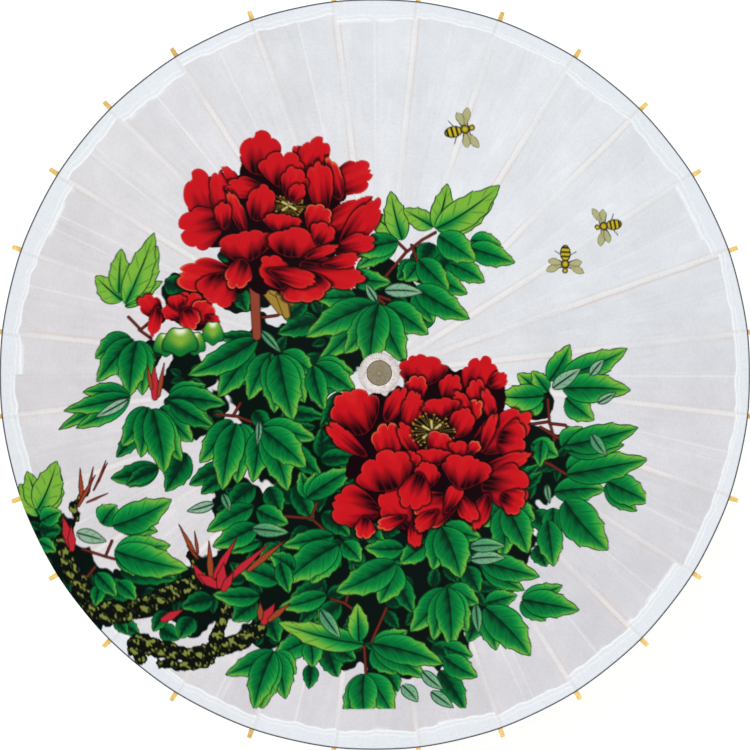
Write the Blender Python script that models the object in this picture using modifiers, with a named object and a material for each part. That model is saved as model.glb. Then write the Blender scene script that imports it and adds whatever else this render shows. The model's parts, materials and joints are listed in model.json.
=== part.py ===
"""Oil paper umbrella, standing open on the end of its grip.

Metres, +Z up. The shaft runs up the Z axis from the origin, which is the middle of the grip's flat end.
Twenty-eight long ribs hang from a slotted head. A short rib is hinged in a jaw under each long rib and
its other end is hinged in the slotted runner, which slides on the shaft. The hinges of the head and of
the runner lie on circles of one radius, and the short rib is as long as the long rib's inner part, so
each pair of ribs is an isosceles linkage: while a long rib turns down by an angle, its short rib turns
back by twice that angle and the runner moves straight along the shaft.
"""

import math

import bmesh
import bpy
from mathutils import Euler, Matrix, Vector

# ---- Driving dimensions ------------------------------------------------------------------------------
RIB_COUNT = 28
TOTAL_HEIGHT = 0.575            # grip end to the top of the head
CANOPY_RADIUS = 0.420           # paper rim, in plan
TIP_REACH = 0.010               # how far a rib tip stands out past the rim, in plan
OPEN_ANGLE = math.radians(70)   # between a long rib and the shaft when open
LINK_LENGTH = 0.205             # head hinge to jaw hinge, and jaw hinge to runner hinge
PIVOT_RADIUS = 0.0165           # circle of the hinges in the head and in the runner
PAPER_THICKNESS = 0.0006

SHAFT_RADIUS = 0.0075
GRIP_RADIUS = 0.0115
GRIP_LENGTH = 0.096
GRIP_SHOULDER = 0.010           # length of the grip's upper taper
GRIP_CHAMFER = 0.003

RIB_HEAD_WIDTH = 0.0021         # of both kinds of rib, inside a slot
RIB_END_RADIUS = 0.0024         # rounded end about each hinge
RIB_CREST = 0.0036              # hinge line up to the long rib's top face
RIB_BELLY = 0.0025              # hinge line down to its underside
RIB_NECK = 0.014                # length over which the rib grows to its full depth
RIB_JAW_WIDTH = 0.0046
RIB_OUTER_WIDTH = 0.0056
RIB_OUTER_UNDERSIDE = -0.0002   # underside just past the jaw, over the hinge line
RIB_END_UNDERSIDE = 0.0002      # and where the tip starts
RIB_TIP_UNDERSIDE = 0.0008      # and at the tip's end
RIB_TIP_LENGTH = 0.010
RIB_TIP_WIDTH = 0.0048
RIB_TIP_DROP = 0.0005           # fall of the tip's top face
JAW_INNER = 0.010               # jaw slot, from the hinge towards the head
JAW_OUTER = 0.036               # and from the hinge towards the tip
JAW_ROOF = 0.0008               # bamboo left over the slot

STRETCHER_WIDTH = 0.0030
STRETCHER_HALF_DEPTH = 0.0025
TONGUE_WIDTH = 0.0016
TONGUE_TAPER = 0.012
STRETCHER_TAIL = 0.014          # narrow length inside the runner
STRETCHER_TAIL_TAPER = 0.026

HEAD_RIM = 0.0032               # head or runner rim beyond the hinge circle
HEAD_SKIRT = 0.007              # hinge circle down to the head's lower face
HEAD_DRUM = 0.006               # hinge circle up to the foot of the head's cone
HEAD_CONE = 0.007               # height of the cone
HEAD_TOP_RADIUS = 0.0135
HEAD_TOP_CHAMFER = 0.0008

RUNNER_RISE = 0.005             # hinge circle up to the runner's top
RUNNER_RIM_DEPTH = 0.007        # hinge circle down to the foot of the runner's rim
RUNNER_TAPER = 0.007
RUNNER_LENGTH = 0.050
SLEEVE_WALL = 0.005

CATCH_THICKNESS = 0.0028
CATCH_LENGTH = 0.034            # catch hinge up to its top face
CATCH_SHANK = 0.0102            # catch hinge up to where its outer face starts to lean out
CATCH_REACH = 0.0038            # how far it stands out of the shaft
CATCH_DEPTH = 0.0051            # depth of its top face
CATCH_PIVOT_DEPTH = 0.0035      # catch hinge in from the shaft's surface
CATCH_END_RADIUS = 0.0020
CATCH_TRAVEL = 0.0052           # room behind the catch for its travel

# ---- Clearances --------------------------------------------------------------------------------------
SLOT_CLEARANCE = 0.00025        # each side of a rib in its slot
JAW_CLEARANCE = 0.0003          # each side of the tongue in the jaw
END_CLEARANCE = 0.0005          # round a rounded rib end
BORE_CLEARANCE = 0.0005
REST_GAP = 0.0004               # paper over a rib's top face
HEAD_GAP = 0.0005               # paper round the head
CATCH_GAP = 0.0005              # under the runner
MORTISE_CLEARANCE = 0.0003
MORTISE_HEADROOM = 0.0012       # over the catch, whose outer corner rises as it swings in
CUT_PAST = 0.004                # how far a cutter runs out of what it cuts

# ---- Derived places ----------------------------------------------------------------------------------
RIB_STEP = 2 * math.pi / RIB_COUNT
SLOPE = math.pi / 2 - OPEN_ANGLE
HEAD_Z = TOTAL_HEIGHT - HEAD_DRUM - HEAD_CONE
RUNNER_Z = HEAD_Z - 2 * LINK_LENGTH * math.cos(OPEN_ANGLE)
JAW_RADIUS = PIVOT_RADIUS + LINK_LENGTH * math.sin(OPEN_ANGLE)
JAW_Z = HEAD_Z - LINK_LENGTH * math.cos(OPEN_ANGLE)
RIB_LENGTH = (CANOPY_RADIUS + TIP_REACH - PIVOT_RADIUS) / math.sin(OPEN_ANGLE)
HEAD_RADIUS = PIVOT_RADIUS + HEAD_RIM
SLOT_FLOOR_RADIUS = PIVOT_RADIUS - RIB_END_RADIUS - END_CLEARANCE
SLOT_WIDTH = RIB_HEAD_WIDTH + 2 * SLOT_CLEARANCE
BORE_RADIUS = SHAFT_RADIUS + BORE_CLEARANCE
RUNNER_FOOT_Z = RUNNER_Z + RUNNER_RISE - RUNNER_LENGTH
CATCH_TOP_Z = RUNNER_FOOT_Z - CATCH_GAP
CATCH_PIVOT_Z = CATCH_TOP_Z - CATCH_LENGTH
CATCH_PIVOT_RADIUS = SHAFT_RADIUS - CATCH_PIVOT_DEPTH
TURNED_STEPS = 56
WELD = 0.00001                  # points closer than this are one point

BAMBOO = ("bamboo", (0.74, 0.55, 0.24), 0.48)
BAMBOO_PALE = ("bamboo_pale", (0.78, 0.62, 0.34), 0.52)
WOOD = ("shaft_wood", (0.50, 0.33, 0.17), 0.50)
RUNNER_WOOD = ("runner_wood", (0.42, 0.29, 0.17), 0.52)
CATCH_WOOD = ("catch_wood", (0.62, 0.45, 0.22), 0.45)
PAPER = ("oiled_paper", (0.78, 0.77, 0.76), 0.42)


def clear_scene():
    """Remove every object that the scene opened with."""
    for item in list(bpy.data.objects):
        bpy.data.objects.remove(item, do_unlink=True)


def new_collection(name):
    """Make a collection under the scene's own."""
    group = bpy.data.collections.new(name)
    bpy.context.scene.collection.children.link(group)
    return group


def material(spec):
    """Return the Principled material of a (name, colour, roughness) triple, made once."""
    name, colour, roughness = spec
    found = bpy.data.materials.get(name)
    if found:
        return found
    made = bpy.data.materials.new(name)
    made.use_nodes = True
    shader = made.node_tree.nodes["Principled BSDF"]
    shader.inputs["Base Color"].default_value = (*colour, 1.0)
    shader.inputs["Roughness"].default_value = roughness
    shader.inputs["Metallic"].default_value = 0.0
    return made


def place(name, mesh, group, spec=None):
    """Make an object of a mesh in a collection, with its material."""
    item = bpy.data.objects.new(name, mesh)
    group.objects.link(item)
    if spec:
        mesh.materials.clear()
        mesh.materials.append(material(spec))
    return item


def settle(item, sharp=math.radians(35)):
    """Turn an object's modifiers into its mesh, and shade it smooth between sharp edges."""
    bpy.context.view_layer.update()
    evaluated = item.evaluated_get(bpy.context.evaluated_depsgraph_get())
    mesh = bpy.data.meshes.new_from_object(evaluated)
    item.modifiers.clear()
    item.data = mesh
    mesh.shade_smooth()
    mesh.set_sharp_from_angle(angle=sharp)
    return item


def turned(name, profile, group, spec):
    """Turn a profile of (radius, height) points about Z. It runs down the outer side."""
    mesh = bpy.data.meshes.new(name)
    edges = [(i, i + 1) for i in range(len(profile) - 1)]
    mesh.from_pydata([(radius, 0.0, height) for radius, height in profile], edges, [])
    item = place(name, mesh, group, spec)
    screw = item.modifiers.new("turn", "SCREW")
    screw.steps = TURNED_STEPS
    screw.render_steps = TURNED_STEPS
    screw.use_merge_vertices = True
    screw.merge_threshold = WELD
    return item


def box_cutter(name, boxes, group):
    """Make one hidden cutter of boxes, each given as (matrix, low corner, high corner)."""
    made = bmesh.new()
    for matrix, low, high in boxes:
        low, high = Vector(low), Vector(high)
        size = Matrix.Diagonal((*(high - low), 1.0))
        bmesh.ops.create_cube(made, size=1.0, matrix=matrix @ Matrix.Translation((low + high) / 2) @ size)
    mesh = bpy.data.meshes.new(name)
    made.to_mesh(mesh)
    made.free()
    cutter = place(name, mesh, group)
    cutter.hide_render = True
    cutter.display_type = "WIRE"
    return cutter


def cut(item, cutter):
    """Cut an object with a cutter."""
    boolean = item.modifiers.new("cut_" + cutter.name, "BOOLEAN")
    boolean.operation = "DIFFERENCE"
    boolean.solver = "EXACT"
    boolean.object = cutter


def rib_angle(number):
    """Angle of a rib about Z. The ribs lie half a step either side of the X axis."""
    return (number + 0.5) * RIB_STEP


def slots(name, floor_z, roof_z, group):
    """Make the cutter of the radial rib slots between two heights."""
    half = SLOT_WIDTH / 2
    boxes = [
        (
            Matrix.Rotation(rib_angle(number), 4, "Z"),
            (SLOT_FLOOR_RADIUS, -half, floor_z),
            (HEAD_RADIUS + CUT_PAST, half, roof_z),
        )
        for number in range(RIB_COUNT)
    ]
    return box_cutter(name, boxes, group)


def bar(name, stations):
    """Loft a straight bar along X through (x, width, underside, top) stations.

    It starts as a box, which is cut across at each station and drawn to the station's size.
    """
    made = bmesh.new()
    first, last = stations[0][0], stations[-1][0]
    middle = Matrix.Translation(((first + last) / 2, 0.0, 0.0))
    bmesh.ops.create_cube(made, size=1.0, matrix=middle @ Matrix.Diagonal((last - first, 1.0, 1.0, 1.0)))
    for x, _, _, _ in stations[1:-1]:
        everything = made.verts[:] + made.edges[:] + made.faces[:]
        bmesh.ops.bisect_plane(
            made, geom=everything, dist=1e-6, plane_co=(x, 0.0, 0.0), plane_no=(1.0, 0.0, 0.0)
        )
    for vertex in made.verts:
        _, width, underside, top = min(stations, key=lambda station: abs(station[0] - vertex.co.x))
        vertex.co.y = math.copysign(width / 2, vertex.co.y)
        vertex.co.z = top if vertex.co.z > 0 else underside
    mesh = bpy.data.meshes.new(name)
    made.to_mesh(mesh)
    made.free()
    return mesh


def rounded_end(x, width, outward):
    """Stations of a rounded end about a hinge at x. Outward is -1 or +1 along X."""
    steps = (70, 40, 0) if outward < 0 else (0, 40, 70)
    return [
        (
            x + outward * RIB_END_RADIUS * math.sin(math.radians(turn)),
            width,
            -RIB_END_RADIUS * math.cos(math.radians(turn)),
            RIB_END_RADIUS * math.cos(math.radians(turn)),
        )
        for turn in steps
    ]


def long_rib_blank(parts, cutters):
    """Build one long rib along +X from its head hinge, with the jaw slot on its underside."""
    jaw_start = LINK_LENGTH - JAW_INNER
    jaw_end = LINK_LENGTH + JAW_OUTER
    stations = rounded_end(0.0, RIB_HEAD_WIDTH, -1) + [
        (RIB_NECK, RIB_HEAD_WIDTH, -RIB_BELLY, RIB_CREST),
        (jaw_start - CUT_PAST, RIB_JAW_WIDTH, -RIB_BELLY, RIB_CREST),
        (LINK_LENGTH + JAW_INNER, RIB_JAW_WIDTH, -RIB_BELLY, RIB_CREST),
        (jaw_end + CUT_PAST, RIB_OUTER_WIDTH, RIB_OUTER_UNDERSIDE, RIB_CREST),
        (RIB_LENGTH - RIB_TIP_LENGTH, RIB_OUTER_WIDTH, RIB_END_UNDERSIDE, RIB_CREST),
        (RIB_LENGTH, RIB_TIP_WIDTH, RIB_TIP_UNDERSIDE, RIB_CREST - RIB_TIP_DROP),
    ]
    item = place("long_rib_blank", bar("long_rib", stations), parts, BAMBOO)
    half = TONGUE_WIDTH / 2 + JAW_CLEARANCE
    low = (jaw_start, -half, -RIB_BELLY - CUT_PAST)
    high = (jaw_end, half, RIB_CREST - JAW_ROOF)
    cut(item, box_cutter("jaw_cutter", [(Matrix.Identity(4), low, high)], cutters))
    return settle(item)


def short_rib_blank(parts):
    """Build one short rib along +X from its jaw hinge to its runner hinge."""
    deep = STRETCHER_HALF_DEPTH
    tongue = JAW_OUTER + RIB_END_RADIUS
    tail = LINK_LENGTH - STRETCHER_TAIL
    stations = (
        rounded_end(0.0, TONGUE_WIDTH, -1)
        + [
            (tongue, TONGUE_WIDTH, -RIB_END_RADIUS, RIB_END_RADIUS),
            (tongue + TONGUE_TAPER, STRETCHER_WIDTH, -deep, deep),
            (tail - STRETCHER_TAIL_TAPER, STRETCHER_WIDTH, -deep, deep),
            (tail, RIB_HEAD_WIDTH, -RIB_END_RADIUS, RIB_END_RADIUS),
        ]
        + rounded_end(LINK_LENGTH, RIB_HEAD_WIDTH, 1)
    )
    item = place("short_rib_blank", bar("short_rib", stations), parts, BAMBOO_PALE)
    return settle(item)


def ring_of_ribs(prefix, blank, radius, height, turn, parts):
    """Copy a rib round the shaft, with its origin on its hinge, and drop the blank."""
    for number in range(RIB_COUNT):
        angle = rib_angle(number)
        item = bpy.data.objects.new(f"{prefix}_{number + 1:02d}", blank.data)
        item.location = (radius * math.cos(angle), radius * math.sin(angle), height)
        item.rotation_euler = Euler((0.0, SLOPE, angle + turn))
        parts.objects.link(item)
    bpy.data.objects.remove(blank)


def shaft_with_head(parts, cutters):
    """Turn the shaft, its grip and the slotted head, and cut the catch's mortise."""
    grip_top = GRIP_LENGTH + GRIP_SHOULDER
    profile = [
        (0.0, TOTAL_HEIGHT),
        (HEAD_TOP_RADIUS - HEAD_TOP_CHAMFER, TOTAL_HEIGHT),
        (HEAD_TOP_RADIUS, TOTAL_HEIGHT - HEAD_TOP_CHAMFER),
        (HEAD_RADIUS, HEAD_Z + HEAD_DRUM),
        (HEAD_RADIUS, HEAD_Z - HEAD_SKIRT),
        (SHAFT_RADIUS, HEAD_Z - HEAD_SKIRT),
        (SHAFT_RADIUS, grip_top),
        (GRIP_RADIUS, GRIP_LENGTH),
        (GRIP_RADIUS, GRIP_CHAMFER),
        (GRIP_RADIUS - GRIP_CHAMFER, 0.0),
        (0.0, 0.0),
    ]
    item = turned("shaft", profile, parts, WOOD)
    roof = HEAD_Z + RIB_END_RADIUS + END_CLEARANCE
    cut(item, slots("head_slot_cutter", HEAD_Z - HEAD_SKIRT - CUT_PAST, roof, cutters))
    half = CATCH_THICKNESS / 2 + MORTISE_CLEARANCE
    floor = SHAFT_RADIUS + CATCH_REACH - CATCH_DEPTH - CATCH_TRAVEL
    below = CATCH_PIVOT_Z - CATCH_END_RADIUS - END_CLEARANCE
    mortise = (
        Matrix.Rotation(-math.pi / 2, 4, "Z"),
        (floor, -half, below),
        (SHAFT_RADIUS + CUT_PAST, half, CATCH_TOP_Z + MORTISE_HEADROOM),
    )
    cut(item, box_cutter("mortise_cutter", [mortise], cutters))
    return settle(item)


def runner(parts, cutters):
    """Turn the runner with its bore, and cut the slots that hold the short ribs."""
    top = RUNNER_Z + RUNNER_RISE
    rim_foot = RUNNER_Z - RUNNER_RIM_DEPTH
    sleeve = BORE_RADIUS + SLEEVE_WALL
    profile = [
        (BORE_RADIUS, top),
        (HEAD_RADIUS, top),
        (HEAD_RADIUS, rim_foot),
        (sleeve, rim_foot - RUNNER_TAPER),
        (sleeve, RUNNER_FOOT_Z),
        (BORE_RADIUS, RUNNER_FOOT_Z),
        (BORE_RADIUS, top),
    ]
    item = turned("runner", profile, parts, RUNNER_WOOD)
    floor = RUNNER_Z - RIB_END_RADIUS - END_CLEARANCE
    cut(item, slots("runner_slot_cutter", floor, top + CUT_PAST, cutters))
    return settle(item)


def catch(parts):
    """Build the catch that holds the runner up, with its origin on its hinge at the mortise's foot."""
    outer = SHAFT_RADIUS + CATCH_REACH - CATCH_PIVOT_RADIUS
    inner = outer - CATCH_DEPTH
    face = SHAFT_RADIUS - CATCH_PIVOT_RADIUS - MORTISE_CLEARANCE
    round_end = [
        (CATCH_END_RADIUS * math.cos(math.radians(turn)), CATCH_END_RADIUS * math.sin(math.radians(turn)))
        for turn in range(180, 361, 30)
    ]
    outline = round_end + [
        (face, CATCH_SHANK),
        (outer, CATCH_LENGTH - CATCH_REACH),
        (outer, CATCH_LENGTH),
        (inner, CATCH_LENGTH),
    ]
    flat = bpy.data.curves.new("catch", "CURVE")
    flat.dimensions = "2D"
    flat.fill_mode = "BOTH"
    flat.extrude = CATCH_THICKNESS / 2
    line = flat.splines.new("POLY")
    line.points.add(len(outline) - 1)
    for point, (x, y) in zip(line.points, outline):
        point.co = (x, y, 0.0, 1.0)
    line.use_cyclic_u = True
    item = bpy.data.objects.new("catch_outline", flat)
    parts.objects.link(item)
    bpy.context.view_layer.update()
    evaluated = item.evaluated_get(bpy.context.evaluated_depsgraph_get())
    mesh = bpy.data.meshes.new_from_object(evaluated)
    bpy.data.objects.remove(item)
    welded = bmesh.new()
    welded.from_mesh(mesh)
    bmesh.ops.remove_doubles(welded, verts=welded.verts, dist=WELD)
    bmesh.ops.rotate(welded, verts=welded.verts, matrix=Matrix.Rotation(math.pi / 2, 3, "X"))
    welded.to_mesh(mesh)
    welded.free()
    made = place("catch", mesh, parts, CATCH_WOOD)
    made.location = (0.0, -CATCH_PIVOT_RADIUS, CATCH_PIVOT_Z)
    made.rotation_euler = Euler((0.0, 0.0, -math.pi / 2))
    return made


def canopy(parts):
    """Build the paper as flat gores between the ribs, a thin shell open round the head."""
    inner = HEAD_RADIUS + HEAD_GAP
    lift = (RIB_CREST + REST_GAP) / math.cos(SLOPE)
    fall = math.tan(SLOPE)
    made = bmesh.new()
    bmesh.ops.create_cone(
        made,
        cap_ends=False,
        segments=2 * RIB_COUNT,
        radius1=CANOPY_RADIUS,
        radius2=inner,
        depth=1.0,
    )
    for vertex in made.verts:
        radius = math.hypot(vertex.co.x, vertex.co.y)
        angle = math.atan2(vertex.co.y, vertex.co.x)
        from_middle = abs((angle / RIB_STEP + 0.5) % 1.0 - 0.5) * RIB_STEP
        along = radius * math.cos(from_middle) / math.cos(RIB_STEP / 2)
        vertex.co.z = HEAD_Z + lift - (along - PIVOT_RADIUS) * fall
    mesh = bpy.data.meshes.new("canopy")
    made.to_mesh(mesh)
    made.free()
    item = place("canopy", mesh, parts, PAPER)
    shell = item.modifiers.new("paper", "SOLIDIFY")
    shell.thickness = PAPER_THICKNESS
    shell.offset = 1.0
    shell.use_even_offset = True
    return settle(item, math.radians(80))


def main():
    """Build the umbrella."""
    clear_scene()
    parts = new_collection("oil_paper_umbrella")
    cutters = new_collection("cutters")
    shaft_with_head(parts, cutters)
    runner(parts, cutters)
    catch(parts)
    ring_of_ribs("long_rib", long_rib_blank(parts, cutters), PIVOT_RADIUS, HEAD_Z, 0.0, parts)
    ring_of_ribs("short_rib", short_rib_blank(parts), JAW_RADIUS, JAW_Z, math.pi, parts)
    canopy(parts)


main()
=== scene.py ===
"""Looks of the open oil paper umbrella: painted paper, bamboo, turned wood, bindings, floor and light."""

import json
import math

import bpy
import numpy as np
from mathutils import Matrix, Vector

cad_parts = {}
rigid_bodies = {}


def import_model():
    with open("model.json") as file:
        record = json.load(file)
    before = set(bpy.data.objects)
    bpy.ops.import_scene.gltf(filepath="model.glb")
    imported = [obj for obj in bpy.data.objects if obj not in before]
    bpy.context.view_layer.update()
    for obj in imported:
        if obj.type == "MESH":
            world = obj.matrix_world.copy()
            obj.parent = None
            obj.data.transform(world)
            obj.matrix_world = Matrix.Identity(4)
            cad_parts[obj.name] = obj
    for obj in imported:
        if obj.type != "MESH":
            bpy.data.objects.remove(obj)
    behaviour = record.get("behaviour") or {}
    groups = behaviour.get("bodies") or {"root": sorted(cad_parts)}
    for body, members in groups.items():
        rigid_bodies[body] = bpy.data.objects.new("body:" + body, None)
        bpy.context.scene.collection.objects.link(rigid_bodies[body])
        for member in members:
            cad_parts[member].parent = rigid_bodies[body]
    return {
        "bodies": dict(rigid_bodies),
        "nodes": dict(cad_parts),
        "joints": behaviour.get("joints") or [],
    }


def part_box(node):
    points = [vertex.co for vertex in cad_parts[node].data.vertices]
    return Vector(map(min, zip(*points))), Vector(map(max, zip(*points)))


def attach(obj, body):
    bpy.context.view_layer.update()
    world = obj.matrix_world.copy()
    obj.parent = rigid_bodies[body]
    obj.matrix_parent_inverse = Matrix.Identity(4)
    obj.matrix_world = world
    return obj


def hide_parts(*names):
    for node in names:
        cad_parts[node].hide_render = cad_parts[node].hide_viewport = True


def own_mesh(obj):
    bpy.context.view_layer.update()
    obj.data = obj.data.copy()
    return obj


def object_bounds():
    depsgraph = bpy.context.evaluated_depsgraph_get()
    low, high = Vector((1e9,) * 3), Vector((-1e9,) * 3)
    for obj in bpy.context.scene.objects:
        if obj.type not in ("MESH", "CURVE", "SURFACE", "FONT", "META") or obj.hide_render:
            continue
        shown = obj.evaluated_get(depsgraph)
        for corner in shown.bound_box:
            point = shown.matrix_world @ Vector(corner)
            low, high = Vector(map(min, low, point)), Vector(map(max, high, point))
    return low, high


bl_info = {
    "name": "Oil paper umbrella looks",
    "version": (1, 0, 0),
    "blender": (4, 5, 0),
    "location": "3D View > Sidebar > Umbrella",
    "description": "Dresses the umbrella's frame in painted paper, bamboo and wood",
    "category": "Object",
}

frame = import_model()
CAD_LOW, CAD_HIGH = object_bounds()

# ---- What the frame gives ----------------------------------------------------------------------------
HINGES = {joint["name"]: joint for joint in frame["joints"]}
FOLD = "fold"
RIBS = sorted(name for name in frame["bodies"] if name.startswith("long_rib_"))
RIB_COUNT = len(RIBS)
RIB_STEP = 2 * math.pi / RIB_COUNT
HEAD_PIVOT = Vector(HINGES[FOLD]["pos_m"])
JAW_PIVOT = Vector(HINGES["short_rib_01_hinge"]["pos_m"])
RUNNER_PIVOT = Vector(HINGES["runner_hinge"]["pos_m"])
PIVOT_RADIUS = HEAD_PIVOT.xy.length
JAW_RADIUS = JAW_PIVOT.xy.length
HEAD_Z = HEAD_PIVOT.z
SLOPE = math.atan2(HEAD_Z - JAW_PIVOT.z, JAW_RADIUS - PIVOT_RADIUS)
PAPER_LOW, PAPER_HIGH = (Vector(corner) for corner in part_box("canopy"))
RIM_RADIUS = PAPER_HIGH.x
HEAD_TOP = CAD_HIGH.z

# ---- Paper -------------------------------------------------------------------------------------------
MM = 0.001
RIB_CREST = 0.0036          # hinge line up to a long rib's top face
PAPER_GAP = 0.0004          # paper over that face
PAPER_THICKNESS = 0.0005
HEAD_HOLE = 0.0203          # the paper's opening round the head
RIB_HALF = ((HEAD_HOLE, 0.0013), (0.2, 0.0026), (0.42, 0.0031))    # plan radius, half width on a rib
GORE_COLUMNS = 40
PLAIN_COLUMNS = 26
STRIP_COLUMNS = 6
FINE_ROW = 0.0011
COARSE_ROW = 0.005
UNDER_ROW = 0.012
HEM_DEPTH = 0.024           # fine rows along the rim


class PaperSettings(bpy.types.PropertyGroup):
    """Sizes and looks of the paper."""

    sag: bpy.props.FloatProperty(
        name="Sag", description="Dip of a gore between its ribs, at the rim", default=0.0016, unit="LENGTH"
    )
    hem: bpy.props.FloatProperty(
        name="Hem", description="Usual width of the hem band", default=0.0185, unit="LENGTH"
    )
    seed: bpy.props.IntProperty(name="Seed", description="Order of the leaves and petals", default=7)


class StageSettings(bpy.types.PropertyGroup):
    """Floor, light and camera."""

    floor: bpy.props.FloatVectorProperty(
        name="Floor", description="Floor colour", subtype="COLOR", size=3, default=(1.0, 1.0, 1.0)
    )
    camera_height: bpy.props.FloatProperty(
        name="Camera height", description="Over the rim", default=2.5, unit="LENGTH"
    )
    camera_aside: bpy.props.FloatVectorProperty(
        name="Camera aside",
        description="From straight above",
        subtype="XYZ",
        size=2,
        default=(-0.052, -0.018),
    )
    aim_aside: bpy.props.FloatVectorProperty(
        name="Aim aside",
        description="Of the shaft",
        subtype="XYZ",
        size=2,
        default=(-0.0013, -0.0010),
    )


# ---- Small helpers -----------------------------------------------------------------------------------
def soft(low, high, value):
    """Step smoothly from 0 at low to 1 at high."""
    share = np.clip((value - low) / (high - low), 0.0, 1.0)
    return share * share * (3.0 - 2.0 * share)


def mix(first, second, share):
    """Blend two colours, or arrays of them, by an array of shares."""
    first, second = np.asarray(first, float), np.asarray(second, float)
    return first + (second - first) * np.asarray(share)[..., None]


def ripple(x, y, scale, turn=0.0):
    """Return a smooth, irregular pattern of about -1 to 1, from a few crossed waves of one wavelength."""
    total = np.zeros_like(x)
    for number in range(5):
        angle = turn + 2.4 * number
        wave = 2 * math.pi / (scale * (0.7 + 0.17 * number))
        total = total + np.sin(wave * (x * math.cos(angle) + y * math.sin(angle)) + 1.7 * number * number)
    return total / 3.0


def spoke(x, y, out, angle, squeeze=1.0):
    """Return the place that lies out from another at an angle in degrees, squeezed in Y."""
    turn = math.radians(angle)
    return x + out * math.cos(turn), y + out * squeeze * math.sin(turn)


def to_linear(colour):
    """Turn display colours into linear ones."""
    colour = np.clip(colour, 0.0, 1.0)
    return np.where(colour < 0.04045, colour / 12.92, ((colour + 0.055) / 1.055) ** 2.4)


def mesh_object(name, points, faces, colours=None, smooth=True):
    """Make an object of an array of points and a list of face arrays, each with one corner count."""
    mesh = bpy.data.meshes.new(name)
    corners = np.concatenate([face.ravel() for face in faces])
    counts = np.concatenate([np.full(len(face), face.shape[1]) for face in faces])
    starts = np.concatenate(([0], np.cumsum(counts)[:-1]))
    mesh.vertices.add(len(points))
    mesh.vertices.foreach_set("co", np.asarray(points, np.float32).ravel())
    mesh.loops.add(len(corners))
    mesh.loops.foreach_set("vertex_index", corners.astype(np.int32))
    mesh.polygons.add(len(counts))
    mesh.polygons.foreach_set("loop_start", starts.astype(np.int32))
    mesh.polygons.foreach_set("loop_total", counts.astype(np.int32))
    mesh.update(calc_edges=True)
    mesh.validate()
    if smooth:
        mesh.shade_smooth()
        mesh.set_sharp_from_angle(angle=math.radians(50))
    if colours is not None:
        layer = mesh.color_attributes.new("paint", "FLOAT_COLOR", "POINT")
        rgba = np.ones((len(points), 4), np.float32)
        rgba[:, :3] = colours
        layer.data.foreach_set("color", rgba.ravel())
    item = bpy.data.objects.new(name, mesh)
    bpy.context.scene.collection.objects.link(item)
    return item


def wrapped_quads(rows, columns):
    """Return the quads of a grid that closes on itself along its rows."""
    row, column = np.meshgrid(np.arange(rows), np.arange(columns - 1), indexing="ij")
    here = row * columns + column
    after = (row + 1) % rows * columns + column
    return np.stack([here, here + 1, after + 1, after], -1).reshape(-1, 4)


def ring_quads(rings, around):
    """Return the quads of rings joined one to the next, each ring closed on itself."""
    ring, step = np.meshgrid(np.arange(rings - 1), np.arange(around), indexing="ij")
    here = ring * around + step
    beside = ring * around + (step + 1) % around
    return np.stack([here, beside, beside + around, here + around], -1).reshape(-1, 4)


# ---- Painting ----------------------------------------------------------------------------------------
# Places are millimetres from the shaft, seen from above: X to the right, Y up. Angles are degrees.
PAPER_SHARE = 0.85          # how much of its colour the oiled paper gives back
PRINT_RIGHT = 298.0         # the print is cut off straight beyond this X
PRINT_BOTTOM = -372.0       # and below this Y
LEAF_DARK = (0.00, 0.18, 0.10)
LEAF_MID = (0.00, 0.43, 0.20)
LEAF_BRIGHT = (0.06, 0.61, 0.26)
LEAF_TIP = (0.52, 0.72, 0.24)
LEAF_LINE = (0.01, 0.13, 0.08)
LEAF_PALE = (0.62, 0.74, 0.64)
GROUND = (0.01, 0.06, 0.045)
RED = (0.78, 0.07, 0.11)
RED_DEEP = (0.52, 0.03, 0.08)
RED_BLACK = (0.07, 0.00, 0.02)
RED_LIT = (0.90, 0.22, 0.18)
PETAL_RIM = (0.88, 0.56, 0.30)
STALK = (0.55, 0.26, 0.18)
SEPAL = (0.62, 0.50, 0.20)
BARK = (0.03, 0.05, 0.03)
MOSS = (0.56, 0.60, 0.26)
TWIG = (0.45, 0.16, 0.12)
SHOOT = (0.60, 0.27, 0.15)
SHOOT_BUD = (0.74, 0.15, 0.20)


class Canvas:
    """Inks laid over a set of points seen from above, in millimetres."""

    def __init__(self, points):
        self.x = points[:, 0].copy()
        self.y = points[:, 1].copy()
        self.rgb = np.zeros((len(points), 3))
        self.ink = np.zeros(len(points))
        inside = soft(0.6, -0.6, self.x - PRINT_RIGHT) * soft(-0.6, 0.6, self.y - PRINT_BOTTOM)
        self.allowed = inside

    def near(self, x, y, reach):
        """Return the numbers of the points within a square round a place."""
        return np.flatnonzero((np.abs(self.x - x) < reach) & (np.abs(self.y - y) < reach))

    def lay(self, picked, colour, cover):
        """Lay a colour over some points, where cover says how fully."""
        cover = cover * self.allowed[picked]
        was = self.ink[picked]
        now = was + (1.0 - was) * cover
        share = np.where(now > 0, cover / np.maximum(now, 1e-6), 0.0)
        self.rgb[picked] = mix(self.rgb[picked], colour, share)
        self.ink[picked] = now

    def local(self, picked, place, angle):
        """Return some points' distances along and across a direction from a place."""
        x = self.x[picked] - place[0]
        y = self.y[picked] - place[1]
        c, s = math.cos(math.radians(angle)), math.sin(math.radians(angle))
        return x * c + y * s, y * c - x * s


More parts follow.
